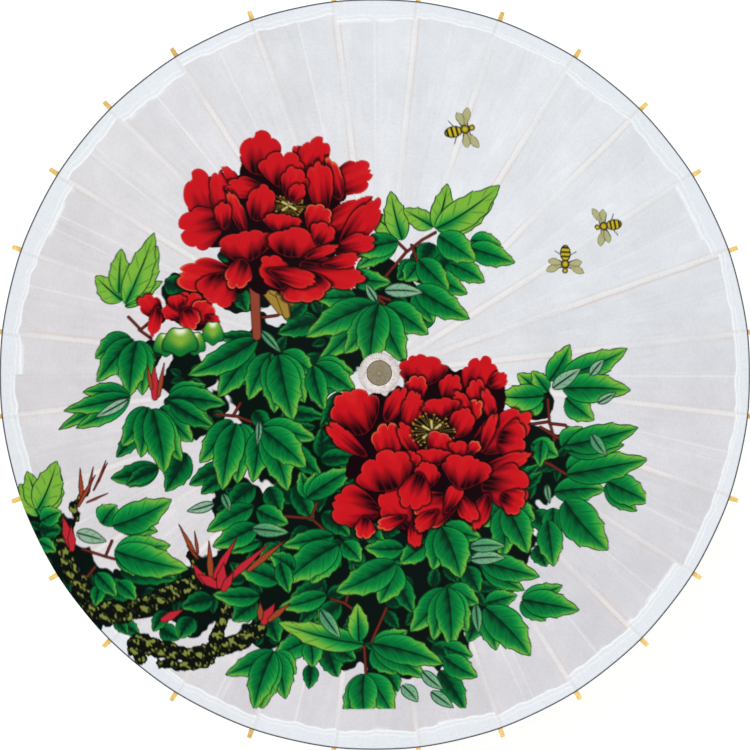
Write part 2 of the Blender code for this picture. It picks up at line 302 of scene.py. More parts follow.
def paint_lobe(canvas, base, angle, length, half, tone, curve=0.0, teeth=0.16, pale=0.0):
    """Paint one leaf lobe: a pointed outline with teeth near its tip, a dark midrib and a light rim."""
    middle = Vector((math.cos(math.radians(angle)), math.sin(math.radians(angle)))) * length * 0.5
    picked = canvas.near(base[0] + middle.x, base[1] + middle.y, length * 0.62 + half * 0.3)
    along, across = canvas.local(picked, base, angle)
    t = along / length
    kept = (t > -0.02) & (t < 1.02)
    picked, t, across = picked[kept], t[kept], across[kept]
    across = across - curve * length * t * (1.0 - t)
    held = np.clip(t, 0.0, 1.0)
    edge = half * np.sin(math.pi * held**0.80) ** 0.80 * (1.06 - 0.16 * held)
    notch = 1.0 + teeth * soft(0.42, 0.6, held) * (np.abs((held * 4.2 + 0.15) % 1.0 - 0.35) * 2.2 - 0.6)
    edge = np.maximum(edge * notch, 0.01)
    gap = edge - np.abs(across)
    cover = soft(-0.9, 0.3, gap) * soft(-0.01, 0.02, t) * soft(1.005, 0.985, t)
    side = np.abs(across) / edge
    lit = np.where(across > 0, 0.14, -0.05)
    vein = np.cos((t * 1.0 - side * 0.22) * 2 * math.pi * 4.5)
    value = -0.14 + 0.68 * side + 0.44 * t + lit + 0.06 * vein + tone
    colour = mix(LEAF_DARK, LEAF_MID, soft(0.0, 0.45, value))
    colour = mix(colour, LEAF_BRIGHT, soft(0.4, 0.95, value))
    light = soft(0.74, 1.30, 0.50 * side + 0.85 * t + 0.6 * tone + max(tone - 0.2, 0.0) * 1.3 + lit * 0.5)
    colour = mix(colour, LEAF_TIP, light * 0.92)
    colour = mix(colour, LEAF_PALE, pale * soft(0.0, 0.5, side + 0.3))
    rib = soft(1.5, 0.3, np.abs(across)) * soft(1.0, 0.55, t) * 0.85
    rib = np.maximum(rib, soft(0.86, 1.0, vein) * soft(0.15, 0.4, side) * soft(1.0, 0.7, side) * 0.30)
    colour = mix(colour, LEAF_LINE, rib)
    colour = mix(colour, LEAF_LINE, soft(1.5, 0.3, gap) * 0.80)
    canvas.lay(picked, colour, cover)


def paint_ground(canvas, x, y, reach, colour=GROUND):
    """Lay the near-black that lies behind crowded leaves or petals, with a ragged edge."""
    picked = canvas.near(x, y, reach * 1.25)
    px, py = canvas.x[picked], canvas.y[picked]
    away = np.hypot(px - x, py - y) / reach
    ragged = away + 0.16 * ripple(px, py, 34.0) + 0.06 * ripple(px, py, 13.0, 1.0)
    canvas.lay(picked, colour, soft(1.0, 0.94, ragged))


def paint_stroke(canvas, points, widths, colour, edge, mottled=None):
    """Paint a tapering stroke along a few points, with a darker edge and sometimes mottled."""
    points = np.asarray(points, float)
    widths = np.asarray(widths, float)
    low, high = points.min(0), points.max(0)
    centre, reach = (low + high) / 2, float((high - low).max() / 2 + widths.max())
    picked = canvas.near(centre[0], centre[1], reach)
    px, py = canvas.x[picked], canvas.y[picked]
    best = np.full(len(picked), 1e9)
    for first, last, wide, narrow in zip(points[:-1], points[1:], widths[:-1], widths[1:]):
        span = last - first
        share = np.clip(((px - first[0]) * span[0] + (py - first[1]) * span[1]) / (span @ span), 0.0, 1.0)
        away = np.hypot(px - first[0] - share * span[0], py - first[1] - share * span[1])
        best = np.minimum(best, away - (wide + (narrow - wide) * share))
    rough = 0.0 if mottled is None else 1.6 * ripple(px, py, 15.0) + 0.6 * ripple(px, py, 6.0, 0.9)
    best = best + rough
    inked = np.broadcast_to(np.asarray(colour, float), (len(picked), 3))
    if mottled is not None:
        streaks = ripple(px, 1.7 * py, 17.0, 0.6) + 0.6 * ripple(1.5 * px, py, 7.3, 1.1)
        spots = soft(-0.10, 0.60, streaks) * soft(-0.8, -2.4, best)
        inked = mix(inked, mottled, spots * 0.9)
        cracks = soft(0.15, 0.6, ripple(px + 0.8 * py, py, 8.5, 2.0))
        inked = mix(inked, BARK, cracks * 0.7)
    inked = mix(inked, edge, soft(-1.4, -0.3, best))
    canvas.lay(picked, inked, soft(0.6, -0.5, best))


def paint_heart(canvas, x, y, reach, cream, random):
    """Paint a flower's dark heart with its ring of dotted stamens and pale pistils."""
    picked = canvas.near(x, y, reach * 1.3)
    away = np.hypot(canvas.x[picked] - x, (canvas.y[picked] - y) * 1.25) / reach
    canvas.lay(picked, (0.05, 0.03, 0.02), soft(1.05, 0.75, away))
    for number in range(34):
        angle = 360.0 * number / 34 + random.uniform(-5, 5)
        out = reach * random.uniform(0.62, 1.0)
        tip = spoke(x, y, out, angle, 0.8)
        root = spoke(x, y, out * 0.35, angle, 0.86)
        dot = (tip, (tip[0] + 0.3, tip[1]))
        paint_stroke(canvas, (root, tip), (0.35, 0.35), (0.55, 0.46, 0.18), (0.45, 0.36, 0.12))
        paint_stroke(canvas, dot, (1.1, 1.1), (0.86, 0.70, 0.26), (0.55, 0.40, 0.12))
    for angle in (40, 95, 150, 215, 330):
        tip = spoke(x, y, reach * cream, angle)
        paint_stroke(canvas, ((x, y), tip), (1.6, 2.0), (0.80, 0.76, 0.46), (0.35, 0.33, 0.12))


def paint_bee(canvas, x, y, size, angle):
    """Paint a bee: a banded body, a round head, six thin legs and clear wings."""
    c, s = math.cos(math.radians(angle)), math.sin(math.radians(angle))

    def at(along, across):
        return x + size * (along * c - across * s), y + size * (along * s + across * c)

    for side in (-1, 1):
        for along in (-0.12, 0.02, 0.16):
            foot = at(along * 1.6 - 0.10, 0.30 * side)
            paint_stroke(canvas, (at(along, 0.0), foot), (0.5, 0.3), (0.20, 0.16, 0.05), (0.10, 0.08, 0.03))
    for side in (-1, 1):
        for facet_shading, reach in ((1.15, 0.54), (1.75, 0.44)):
            root = at(0.06, 0.05 * side)
            heading = angle + side * math.degrees(facet_shading)
            picked = canvas.near(root[0], root[1], size * reach * 1.1)
            along, across = canvas.local(picked, root, heading)
            t = np.clip(along / (size * reach), 0.0, 1.0)
            gap = size * 0.105 * np.sin(math.pi * t**1.4) ** 0.8 - np.abs(across)
            cover = soft(-0.5, 0.4, gap) * (along > 0) * (along < size * reach)
            wing = mix((0.66, 0.66, 0.44), (0.30, 0.26, 0.12), soft(1.0, 0.1, gap))
            canvas.lay(picked, wing, cover * 0.85)
    for along, radius, stretch in ((-0.24, 0.150, 1.55), (0.06, 0.120, 1.0), (0.24, 0.080, 1.0)):
        centre = at(along, 0.0)
        picked = canvas.near(centre[0], centre[1], size * radius * 2.0)
        u, v = canvas.local(picked, centre, angle)
        away = np.hypot(u / stretch, v) / (size * radius)
        band = soft(-0.6, 0.2, np.sin(u / size * 52.0)) if stretch > 1 else soft(1.0, 0.3, away)
        body = mix((0.20, 0.17, 0.05), (0.78, 0.70, 0.18), band)
        canvas.lay(picked, mix(body, (0.06, 0.05, 0.02), soft(0.72, 1.0, away)), soft(1.08, 0.92, away))


# Lobes are from x, y, to x, y, half width. A cluster is a tone and its lobes, the back ones first.
LEAVES_BACK = (
    (-0.16, ((-129, 37, -174, 41, 9), (-262, -60, -286, -92, 10), (-238, -103, -293, -115, 14),
             (-240, -104, -275, -122, 10), (-207, -86, -231, -129, 15), (-232, -28, -174, -62, 14))),
    (-0.16, ((-64, 52, -104, 64, 11), (-64, 56, -108, 42, 12), (-101, -43, -56, -47, 9),
             (-133, -40, -118, -62, 10),
             (-100, -75, -60, -112, 12), (-60, -75, -20, -62, 9), (-62, -92, -22, -88, 10))),
    (-0.16, ((-232, 100, -205, 90, 12), (-174, 129, -148, 124, 8), (-150, 92, -140, 66, 10),
             (-96, 60, -74, 80, 10),
             (-180, -247, -216, -258, 12), (-284, -219, -219, -226, 13), (-376, -172, -350, -172, 13),
             (-372, -186, -340, -184, 9), (-300, -230, -262, -250, 12))),
    (-0.15, ((-133, -121, -163, -147, 13), (-118, -122, -104, -150, 12), (-160, -100, -205, -121, 12),
             (-165, -112, -192, -131, 9), (-50, -122, -8, -126, 7), (-90, -120, -70, -160, 12),
             (-60, -150, -30, -176, 12), (-30, -150, 10, -190, 12))),
    (-0.15, ((40, 120, 20, 100, 12), (60, 140, 45, 112, 14), (80, 130, 64, 100, 12), (60, 60, 30, 50, 10),
             (-60, 20, -84, -8, 14), (-44, 0, -70, -28, 12), (-40, -20, -62, -58, 10))),
    (-0.15, ((150, -120, 176, -98, 8), (157, -123, 179, -106, 8), (170, -150, 190, -170, 12),
             (120, -210, 150, -240, 14), (176, -186, 186, -212, 12), (96, -210, 112, -240, 12),
             (20, -220, 40, -262, 12), (-60, -230, -96, -246, 12), (-40, -250, -70, -272, 12),
             (60, -300, 96, -316, 12), (112, -262, 100, -296, 12), (40, -300, 14, -330, 12))),
    (-0.12, ((-240, -282, -218, -294, 11), (-203, -269, -218, -293, 12), (-232, -262, -248, -286, 9),
             (-284, -277, -263, -289, 9), (-290, -270, -276, -290, 8), (-73, -320, -75, -349, 9),
             (-55, -301, -43, -335, 13), (-46, -298, -23, -315, 12), (69, -328, 99, -374, 13),
             (10, -330, 24, -352, 11), (-132, -249, -159, -272, 14), (-120, -262, -108, -296, 12))),
)
LEAVES_FRONT = (
    (0.50, ((-279, 80, -310, 108, 14), (-283, 88, -281, 138, 12), (-276, 73, -234, 101, 9),
            (-274, 76, -240, 140, 15), (-276, 76, -244, 155, 15))),
    (0.10, ((-262, 36, -243, -2, 11), (-269, 40, -310, 17, 14), (-266, 38, -308, -9, 15),
            (-258, 34, -256, -24, 14), (-262, 36, -270, -25, 17))),
    (0.16, ((-270, -24, -324, -20, 11), (-272, -27, -352, -62, 10), (-270, -26, -332, -60, 11),
            (-269, -25, -346, -41, 11))),
    (0.10, ((-252, -36, -280, -80, 14), (-236, -36, -200, -74, 16), (-244, -38, -212, -96, 14),
            (-250, -36, -258, -92, 14), (-245, -38, -232, -109, 18))),
    (-0.02, ((-226, -22, -185, -12, 11), (-228, -26, -163, -33, 14), (-226, -30, -176, -58, 12))),
    (0.02, ((-134, 30, -191, -1, 12), (-134, 26, -172, -26, 16), (-129, 37, -206, -2, 15))),
    (0.10, ((-103, 22, -68, -1, 13), (-106, 20, -78, -32, 15), (-114, 22, -139, -29, 15),
            (-116, 18, -111, -43, 15), (-107, 20, -91, -51, 19))),
    (0.12, ((-150, -54, -134, -88, 11), (-157, -50, -193, -97, 15), (-148, -54, -152, -120, 15),
            (-152, -53, -168, -127, 17))),
    (0.12, ((-127, -60, -135, -118, 14), (-124, -56, -66, -70, 14), (-122, -62, -97, -127, 17),
            (-124, -60, -77, -101, 18))),
    (0.52, ((-376, -158, -398, -122, 13), (-377, -150, -389, -108, 13), (-376, -152, -350, -109, 16),
            (-377, -151, -354, -96, 17))),
    (0.20, ((-374, -164, -349, -152, 12), (-378, -186, -356, -198, 9), (-304, -166, -286, -144, 14),
            (-288, -166, -240, -173, 11), (-286, -162, -231, -150, 13), (-292, -168, -224, -137, 18))),
    (0.22, ((-288, -194, -226, -188, 15), (-288, -200, -253, -224, 12), (-290, -198, -225, -222, 15),
            (-290, -195, -206, -214, 19))),
    (0.08, ((-287, -230, -266, -250, 11), (-306, -234, -313, -259, 9), (-311, -221, -288, -247, 11))),
    (0.08, ((-77, -134, -84, -105, 9), (-75, -134, -66, -105, 10), (-77, -134, -24, -101, 13),
            (-131, -147, -96, -162, 13))),
    (0.08, ((-135, -144, -186, -172, 13), (-127, -182, -160, -196, 8), (-130, -165, -180, -189, 14),
            (-107, -186, -128, -202, 10))),
    (0.10, ((-38, -182, -18, -204, 12), (-47, -175, -104, -187, 12), (-43, -186, -72, -229, 16),
            (-43, -185, -102, -229, 19))),
    (0.06, ((-107, -227, -156, -210, 14), (-128, -243, -181, -242, 12), (-90, -214, -118, -196, 12),
            (-106, -205, -96, -240, 10))),
    (0.10, ((28, -189, -15, -188, 12), (52, -184, 24, -206, 13), (20, -206, 2, -251, 17),
            (20, -205, -46, -238, 18))),
    (0.08, ((72, -164, 113, -178, 13), (66, -166, 60, -214, 15), (69, -166, 91, -223, 20))),
    (0.10, ((138, -142, 114, -166, 14), (140, -142, 172, -160, 14), (137, -144, 136, -201, 17),
            (139, -144, 165, -197, 17))),
    (0.10, ((114, -207, 162, -238, 12), (112, -204, 179, -223, 15))),
    (0.12, ((192, -146, 190, -184, 13), (186, -160, 194, -212, 15), (204, -140, 230, -188, 16),
            (192, -129, 251, -127, 15), (204, -138, 256, -195, 22))),
    (0.14, ((206, -104, 236, -88, 12), (250, -122, 288, -152, 11), (252, -118, 302, -142, 17),
            (206, -110, 300, -94, 17))),
    (0.12, ((166, -76, 197, -90, 13), (178, -72, 176, -102, 9), (206, -84, 272, -78, 12),
            (200, -80, 224, -58, 13), (206, -78, 288, -59, 16))),
    (0.14, ((159, -248, 205, -233, 12), (158, -250, 187, -273, 12), (159, -248, 225, -262, 16))),
    (0.12, ((118, -252, 154, -243, 12), (118, -258, 132, -306, 13), (118, -256, 171, -313, 20))),
    (0.12, ((78, -233, 112, -252, 14), (78, -235, 100, -284, 14), (74, -234, 36, -283, 17),
            (75, -234, 62, -294, 14), (76, -233, 82, -302, 17))),
    (0.16, ((-55, -241, -108, -256, 12), (-76, -293, -114, -311, 14), (-73, -294, -71, -324, 12))),
    (0.34, ((-40, -293, -65, -260, 9), (-14, -297, -110, -272, 15), (-20, -294, -22, -250, 12))),
    (0.12, ((-4, -296, 34, -281, 11), (-4, -300, 22, -332, 14), (-4, -298, 54, -336, 15),
            (-6, -296, 74, -321, 17))),
    (0.10, ((74, -300, 106, -312, 12), (74, -312, 112, -336, 14))),
    (0.12, ((-112, -306, -89, -332, 14), (-112, -306, -168, -334, 13), (-112, -306, -101, -361, 15),
            (-113, -306, -128, -374, 16), (-114, -306, -136, -374, 16))),
    (0.14, ((-12, -331, -36, -380, 15), (-12, -331, 18, -380, 17), (-14, -331, -12, -388, 17))),
    (0.46, ((24, 147, -6, 172, 14), (26, 143, 14, 198, 13), (60, 158, 27, 178, 12), (62, 156, 76, 207, 12),
            (64, 154, 127, 187, 15), (62, 156, 134, 206, 17))),
    (0.20, ((78, 118, 115, 98, 13), (100, 144, 134, 140, 11), (98, 136, 149, 120, 14),
            (65, 149, 106, 121, 17))),
    (0.16, ((20, 140, -24, 111, 11), (22, 142, -29, 127, 14))),
    (0.12, ((43, 118, 28, 98, 12), (54, 108, 96, 85, 13), (43, 122, 76, 89, 15), (40, 90, 59, 53, 13),
            (39, 92, 98, 58, 16))),
    (0.12, ((8, 72, 53, 41, 16), (-32, 104, 14, 97, 12), (-24, 82, -68, 80, 12))),
    (0.10, ((0, 74, -66, 9, 14), (-2, 74, -78, 38, 17), (2, 72, 28, 10, 17), (0, 72, -37, 20, 16),
            (0, 74, -10, 4, 18))),
    (0.06, ((-66, 12, -26, 0, 13), (-68, 10, -24, -21, 14), (-70, 8, -57, -40, 12))),
    (0.30, ((176, -22, 150, 0, 12), (184, -20, 166, 3, 10), (178, -30, 152, -44, 12),
            (180, -24, 126, -24, 15))),
    (0.24, ((185, -8, 209, 32, 13), (204, -26, 237, -51, 14), (200, -2, 275, 28, 15),
            (200, -16, 279, -18, 17))),
)
LEAVES_PALE = (
    (0.9, ((-272, -28, -310, -48, 6), (-333, -176, -298, -185, 8), (-177, -141, -208, -150, 6))),
    (0.8, ((6, 88, 48, 86, 8), (189, -16, 222, 6, 8), (232, -2, 248, 16, 6), (240, -32, 262, -20, 5))),
    (0.7, ((101, -202, 140, -201, 8), (28, -344, 46, -364, 8), (50, -328, 74, -350, 7),
           (60, -352, 86, -372, 7),
           (184, -120, 188, -142, 4), (-2, 76, -14, 96, 5), (-128, -50, -130, -78, 4))),
    (0.5, ((-136, -168, -96, -172, 8), (100, -188, 140, -188, 8), (-62, -258, -40, -290, 8),
           (108, -252, 112, -286, 6), (234, -66, 252, -90, 7), (-126, 46, -104, 22, 5),
           (-168, -130, -160, -150, 5))),
)
GROUNDS = (
    (-118, 4, 52), (-206, -6, 30), (-190, -40, 30), (-104, -60, 46), (-60, -110, 66), (-40, 40, 40),
    (8, 84, 34), (50, 116, 22), (-70, -160, 66), (-20, -180, 60), (60, -190, 60), (120, -170, 56),
    (168, -100, 44), (196, -92, 30), (60, -240, 56), (0, -250, 60), (-60, -246, 56), (100, -230, 46),
    (72, -296, 34), (14, -306, 34), (-40, -300, 28), (-366, -176, 32), (-350, -220, 36), (-318, -246, 36),
    (-262, -238, 34), (-220, -240, 34), (-180, -236, 40), (-140, -222, 46), (-120, -280, 26),
    (-200, -262, 26),
    (40, -120, 50), (-10, -90, 50), (130, -140, 50), (-150, -140, 30), (-122, -180, 36), (-250, 20, 18),
    (-210, 88, 26), (-150, 90, 26), (-120, 96, 24), (-60, 60, 30), (170, -30, 20), (-318, -280, 14),
)
BRANCHES = (
    (((-348, -186), (-342, -214), (-322, -246), (-300, -270)), (9, 10, 12, 12)),
    (((-318, -262), (-284, -266), (-246, -252), (-216, -236), (-190, -226)), (12, 12, 11, 11, 9)),
    (((-272, -308), (-262, -300), (-238, -306), (-210, -312), (-180, -306), (-150, -294), (-128, -280)),
     (6, 13, 10, 9, 9, 10, 8)),
    (((-186, -314), (-176, -288), (-166, -260), (-162, -242)), (8, 7, 6, 5)),
    (((-240, -322), (-212, -324), (-190, -320)), (5, 6, 6)),
    (((-270, -300), (-262, -318)), (8, 7)),
    (((-204, -196), (-198, -214), (-200, -230)), (4, 5, 7)),
    (((-332, -160), (-336, -146), (-318, -128)), (4, 4.5, 3)),
)
SHOOTS = (
    (-326, -138, 92, 34, 6), (-318, -130, 78, 28, 4), (-330, -146, 60, 40, 5), (-312, -128, 62, 34, 3),
    (-306, -118, 70, 24, 3), (-320, -142, 24, 26, 3), (-340, -190, 104, 34, 12), (-338, -194, 92, 26, 10),
    (-198, -200, 118, 40, 6), (-196, -196, 98, 24, 4), (-196, -202, 132, 18, 4), (-178, -222, 60, 50, 9),
    (-182, -226, 92, 44, 8), (-164, -226, 42, 62, 9), (-190, -228, 120, 24, 9), (-176, -232, 150, 24, 12),
    (-172, -232, 80, 26, 12), (-168, -236, 60, 22, 10), (-140, -214, 40, 52, 8), (-124, -272, 60, 24, 12),
    (-118, -270, 40, 30, 8), (-128, -268, 90, 18, 8), (-236, -272, 28, 26, 10), (-242, -26, 92, 36, 10),
    (-238, -24, 80, 36, 6), (-246, -16, 100, 26, 6),
)
TWIGS = (
    ((-272, 62), (-258, 48), (-246, 58)), ((-260, 48), (-246, 38)), ((-174, -44), (-152, -46), (-136, -52)),
    ((-156, -46), (-148, -32)), ((8, 104), (30, 130), (48, 144), (62, 152)), ((30, 132), (20, 142)),
    ((36, 138), (42, 120)), ((-20, 108), (-6, 84), (6, 74)), ((0, 82), (12, 78)), ((156, -56),
    (186, -52), (192, -72)),
    ((186, -52), (184, -28)), ((186, -54), (204, -56), (214, -68)), ((176, -58), (196, -70)),
    ((154, -84), (190, -100), (206, -110)), ((-326, -194), (-300, -202), (-268, -210)), ((-300, -202),
    (-292, -184)),
    ((-312, -214), (-322, -226)), ((-100, -154), (-72, -156), (-54, -172)), ((-72, -156), (-66, -140)),
    ((-50, -246), (-36, -250), (-28, -256)), ((-34, -248), (-32, -240)), ((10, -256), (-6, -294)),
    ((-26, -302), (-14, -300), (-12, -330)), ((-124, 60), (-108, 62), (-94, 70)), ((-182, 96),
    (-190, 70), (-190, 50)),
)
BUD_CUPS = ((-178, 44, 12, 13), (-230, 32, 14, 13), (-198, 33, 12, 13), (-214, 35, 20, 16))
SEPALS = ((-122, 92, -104, 66), (-112, 90, -92, 76), (-104, 84, -98, 62), (-186, 72, -190, 50))
BEES = ((94, 268, 44, 14), (252, 163, 40, 190), (205, 122, 40, 268))
# Petals: x, y, direction of the outer edge, half length, half width. The back ones first.
FLOWER_ONE = (
    (-188, 190, 112, 33, 22), (-190, 160, 192, 26, 24), (-128, 240, 95, 25, 23), (-86, 238, 96, 12, 7),
    (-72, 232, 68, 28, 16), (-32, 211, 22, 28, 18), (-38, 168, 28, 36, 15), (-20, 158, 55, 34, 15),
    (-26, 138, 12, 22, 11), (-168, 190, 96, 34, 14), (-158, 214, 128, 16, 6), (-104, 222, 88, 20, 24),
    (-47, 210, 108, 24, 10), (-62, 200, 96, 31, 14), (-142, 202, 168, 22, 12), (-152, 174, 112, 24, 8),
    (-168, 172, 96, 15, 9), (-91, 206, 82, 18, 15), (-88, 196, 60, 11, 9), (-127, 184, 82, 20, 16),
    (-66, 168, 62, 15, 15), (-104, 163, 84, 10, 20), (-180, 104, 172, 38, 19), (-172, 92, 240, 18, 22),
    (-52, 108, -12, 34, 17), (-78, 92, -78, 15, 28), (-142, 138, 100, 17, 30), (-90, 140, 84, 16, 30),
    (-60, 150, 60, 12, 14), (-62, 130, 20, 18, 6), (-150, 108, 250, 17, 14), (-110, 108, 130, 20, 16),
    (-92, 104, -14, 26, 10), (-40, 120, 12, 20, 8),
)
FLOWER_TWO = (
    (46, 2, 92, 15, 25), (108, -4, 72, 20, 18), (128, -8, 30, 10, 9), (76, -16, 72, 14, 11),
    (-24, -42, 118, 22, 25),
    (-34, -72, 140, 24, 9), (40, -16, 94, 12, 11), (16, -34, 62, 19, 9), (106, -22, 100, 14, 10),
    (132, -64, 32, 32, 20), (144, -72, 350, 14, 20), (136, -98, 20, 26, 9), (120, -36, 110, 18, 7),
    (100, -42, 60, 14, 9), (90, -34, 120, 14, 8), (34, -42, 74, 22, 10), (66, -37, 100, 10, 18),
    (118, -64, 70, 20, 6), (88, -54, 62, 15, 13), (10, -74, 98, 19, 15), (32, -70, 120, 17, 8),
    (66, -76, 60, 12, 15), (90, -83, 72, 9, 14), (102, -80, 50, 8, 6), (58, -90, 90, 9, 18),
    (32, -94, 84, 11, 11),
    (138, -122, 350, 24, 22), (146, -138, 330, 12, 14), (112, -148, 250, 18, 10), (96, -146, 300, 15, 9),
    (-24, -144, 172, 24, 20), (-14, -166, 262, 11, 10), (24, -146, 128, 22, 20), (14, -160, 200, 14, 7),
    (40, -172, 272, 15, 7), (62, -146, 200, 22, 18), (80, -134, 66, 16, 8), (52, -158, 222, 14, 8),
    (94, -106, 78, 17, 24), (52, -110, 88, 13, 13), (8, -106, 112, 20, 28), (40, -126, 250, 18, 16),
)
BUD = (
    (-246, 72, 130, 16, 12), (-242, 58, 260, 16, 8), (-206, 74, 90, 14, 18), (-222, 66, 150, 12, 10),
    (-190, 66, 60, 14, 14), (-204, 60, 300, 12, 12), (-218, 78, 100, 8, 10), (-178, 58, 330, 8, 6),
)
FLOWER_SHADOWS = (
    (-150, 168, 34), (-104, 176, 46), (-60, 156, 36), (-92, 128, 40), (-132, 130, 34), (-62, 200, 26),
    (-148, 196, 20), (-130, 222, 20), (-70, 226, 16), (-180, 160, 22), (-120, 106, 24), (-70, 106, 24),
    (55, -60, 56), (100, -56, 36), (20, -56, 40), (60, -110, 52), (112, -100, 38), (16, -124, 30),
    (72, -26, 32), (46, -14, 22), (100, -24, 22), (30, -140, 26), (96, -130, 26), (-18, -60, 24),
    (118, -26, 20), (88, -10, 14), (-10, -100, 24),
)


def paint_leaves(canvas, clusters, pale=False):
    """Paint clusters of lobes. The first number of a cluster is its tone, or how pale it is."""
    for tone, lobes in clusters:
        for x, y, tip_x, tip_y, half in lobes:
            length = math.hypot(tip_x - x, tip_y - y)
            angle = math.degrees(math.atan2(tip_y - y, tip_x - x))
            curve = 0.16 * math.sin(x * 0.7 + tip_y)
            if pale:
                paint_lobe(canvas, (x, y), angle, length, half, 0.1, curve, 0.02, tone)
            else:
                paint_lobe(canvas, (x, y), angle, length, half, tone, curve)


def paint_undergrowth(canvas, random):
    """Paint dim leaves over the dark grounds, each pointing away from its ground's middle."""
    for x, y, reach in GROUNDS:
        for number in range(5):
            angle = 72 * number + random.uniform(-25, 25)
            out = reach * random.uniform(0.05, 0.45)
            place = spoke(x, y, out, angle)
            length = reach * random.uniform(0.40, 0.55)
            paint_lobe(canvas, place, angle, length, length * 0.30, -0.30, random.uniform(-0.15, 0.15))


def paint_flower(canvas, petals, heart, random, full=1.0):
    """Paint a peony: its shadow, its petals from back to front, and its stamens. Full swells the petals."""
    for x, y, angle, half_length, half_width in petals:
        x, y = spoke(x, y, -0.75 * half_length, angle)
        picked = canvas.near(x, y, half_width)
        away = np.hypot(canvas.x[picked] - x, canvas.y[picked] - y) / (0.8 * half_width)
        canvas.lay(picked, RED_BLACK, soft(1.0, 0.9, away))
    for number, (x, y, angle, half_length, half_width) in enumerate(petals):
        if number == len(petals) // 2 and heart:
            paint_heart(canvas, *heart, random)
        paint_petal(canvas, x, y, angle, half_length * full, half_width * full, random)


def paint_petal(canvas, x, y, angle, half_length, half_width, random):
    """Paint a petal: an oval, narrower at its root, whose outer edge is scalloped and whose root is dark."""
    phase, waves, glow = random.uniform(0, 6), random.uniform(5.5, 7.5), random.uniform(0.0, 1.0)
    picked = canvas.near(x, y, 1.25 * max(half_length, half_width))
    along, across = canvas.local(picked, (x, y), angle)
    u = along / half_length
    v = across / (half_width * (0.70 + 0.30 * soft(-1.1, 0.3, u)))
    away = np.hypot(u, v)
    turn = np.arctan2(v, u)
    outer = soft(-0.5, 0.4, u)
    scallop = np.abs(np.sin(waves * 0.5 * turn + phase)) ** 0.6
    cleft = soft(0.16, 0.0, np.abs(turn - 0.3 * np.sin(phase)))
    edge = 1.0 + outer * (0.20 * scallop - 0.12 - 0.12 * cleft)
    edge = edge + 0.05 * np.sin(3 * turn + phase) + 0.03 * np.sin(2 * turn + 2 * phase)
    gap = (edge - away) * min(half_length, half_width)
    folds = 0.12 * np.cos(v * 4.5 + phase) + 0.07 * np.cos(v * 11.0 + 2 * phase)
    out = 0.5 * (u + 1.0) + folds - 0.10 * v * v
    canvas.lay(picked, RED_BLACK, soft(-3.4, -0.2, gap) * canvas.ink[picked] * 0.8)
    colour = mix(RED_BLACK, RED_DEEP, soft(0.05, 0.38, out))
    colour = mix(colour, RED, soft(0.26, 0.62, out))
    veins = np.cos(v * 19.0 + 3.0 * phase) * soft(0.9, 0.2, out)
    colour = mix(colour, RED_DEEP, soft(0.1, 0.9, veins) * 0.45)
    colour = mix(colour, RED_LIT, 0.45 * soft(0.70, 1.0, out) * glow)
    colour = mix(colour, PETAL_RIM, soft(2.0, 0.5, gap) * outer * (0.18 + 0.60 * soft(0.70, 0.95, glow)))
    colour = mix(colour, RED_DEEP, soft(1.2, 0.1, gap) * (0.85 - 0.55 * outer))
    canvas.lay(picked, colour, soft(-0.5, 0.3, gap))


def paint_spray(canvas, seed):
    """Paint the whole spray: grounds, leaves, branches, flowers, bud and bees, back to front."""
    random = np.random.default_rng(seed)
    for x, y, reach in GROUNDS:
        paint_ground(canvas, x, y, reach)
    paint_undergrowth(canvas, random)
    paint_leaves(canvas, LEAVES_BACK)
    for points, widths in BRANCHES:
        paint_stroke(canvas, points, widths, BARK, (0.01, 0.02, 0.01), MOSS)
    for points in TWIGS:
        paint_stroke(canvas, points, [1.7] * len(points), TWIG, (0.22, 0.08, 0.06))
    paint_leaves(canvas, LEAVES_FRONT)
    paint_leaves(canvas, LEAVES_PALE, True)
    for x, y, angle, length, width in SHOOTS:
        middle = spoke(x, y, 0.4 * length, angle)
        end = spoke(x, y, length, angle)
        colour = SHOOT_BUD if width >= 9 else SHOOT
        widths = (width * 0.35, width * 0.5, 0.5)
        paint_stroke(canvas, ((x, y), middle, end), widths, colour, (0.24, 0.05, 0.05))
    paint_stroke(canvas, ((-133, 96), (-130, 40)), (6, 5), STALK, (0.20, 0.07, 0.05))
    for x, y, tip_x, tip_y in SEPALS:
        paint_stroke(canvas, ((x, y), (tip_x, tip_y)), (6, 4), SEPAL, (0.30, 0.20, 0.06))
    paint_bud(canvas, random)
    for x, y, reach in FLOWER_SHADOWS:
        paint_ground(canvas, x, y, reach, RED_BLACK)
    paint_flower(canvas, FLOWER_ONE, (-96, 182, 20, 0.4), random)
    paint_flower(canvas, FLOWER_TWO, (57, -62, 25, 0.45), random, 1.08)
    for x, y, size, angle in BEES:
        paint_bee(canvas, x, y, size, angle)


def paint_bud(canvas, random):
    """Paint the half-open bud: short red petals over a pale green cup."""
    paint_flower(canvas, BUD, None, random)
    for x, y, wide, high in BUD_CUPS:
        picked = canvas.near(x, y, 1.2 * max(wide, high))
        px, py = (canvas.x[picked] - x) / wide, (canvas.y[picked] - y) / high
        away = np.hypot(px * (1.0 + 0.22 * py), py + 0.10 * np.cos(px * 6.0))
        cup = mix((0.55, 0.70, 0.22), (0.05, 0.45, 0.18), soft(0.1, 1.0, 0.7 * away - 0.45 * py + 0.15))
        cup = mix(cup, (0.90, 0.93, 0.80), soft(0.55, 0.10, np.hypot(px, py - 0.75)))
        canvas.lay(picked, mix(cup, LEAF_LINE, soft(0.86, 1.0, away)), soft(1.05, 0.93, away))


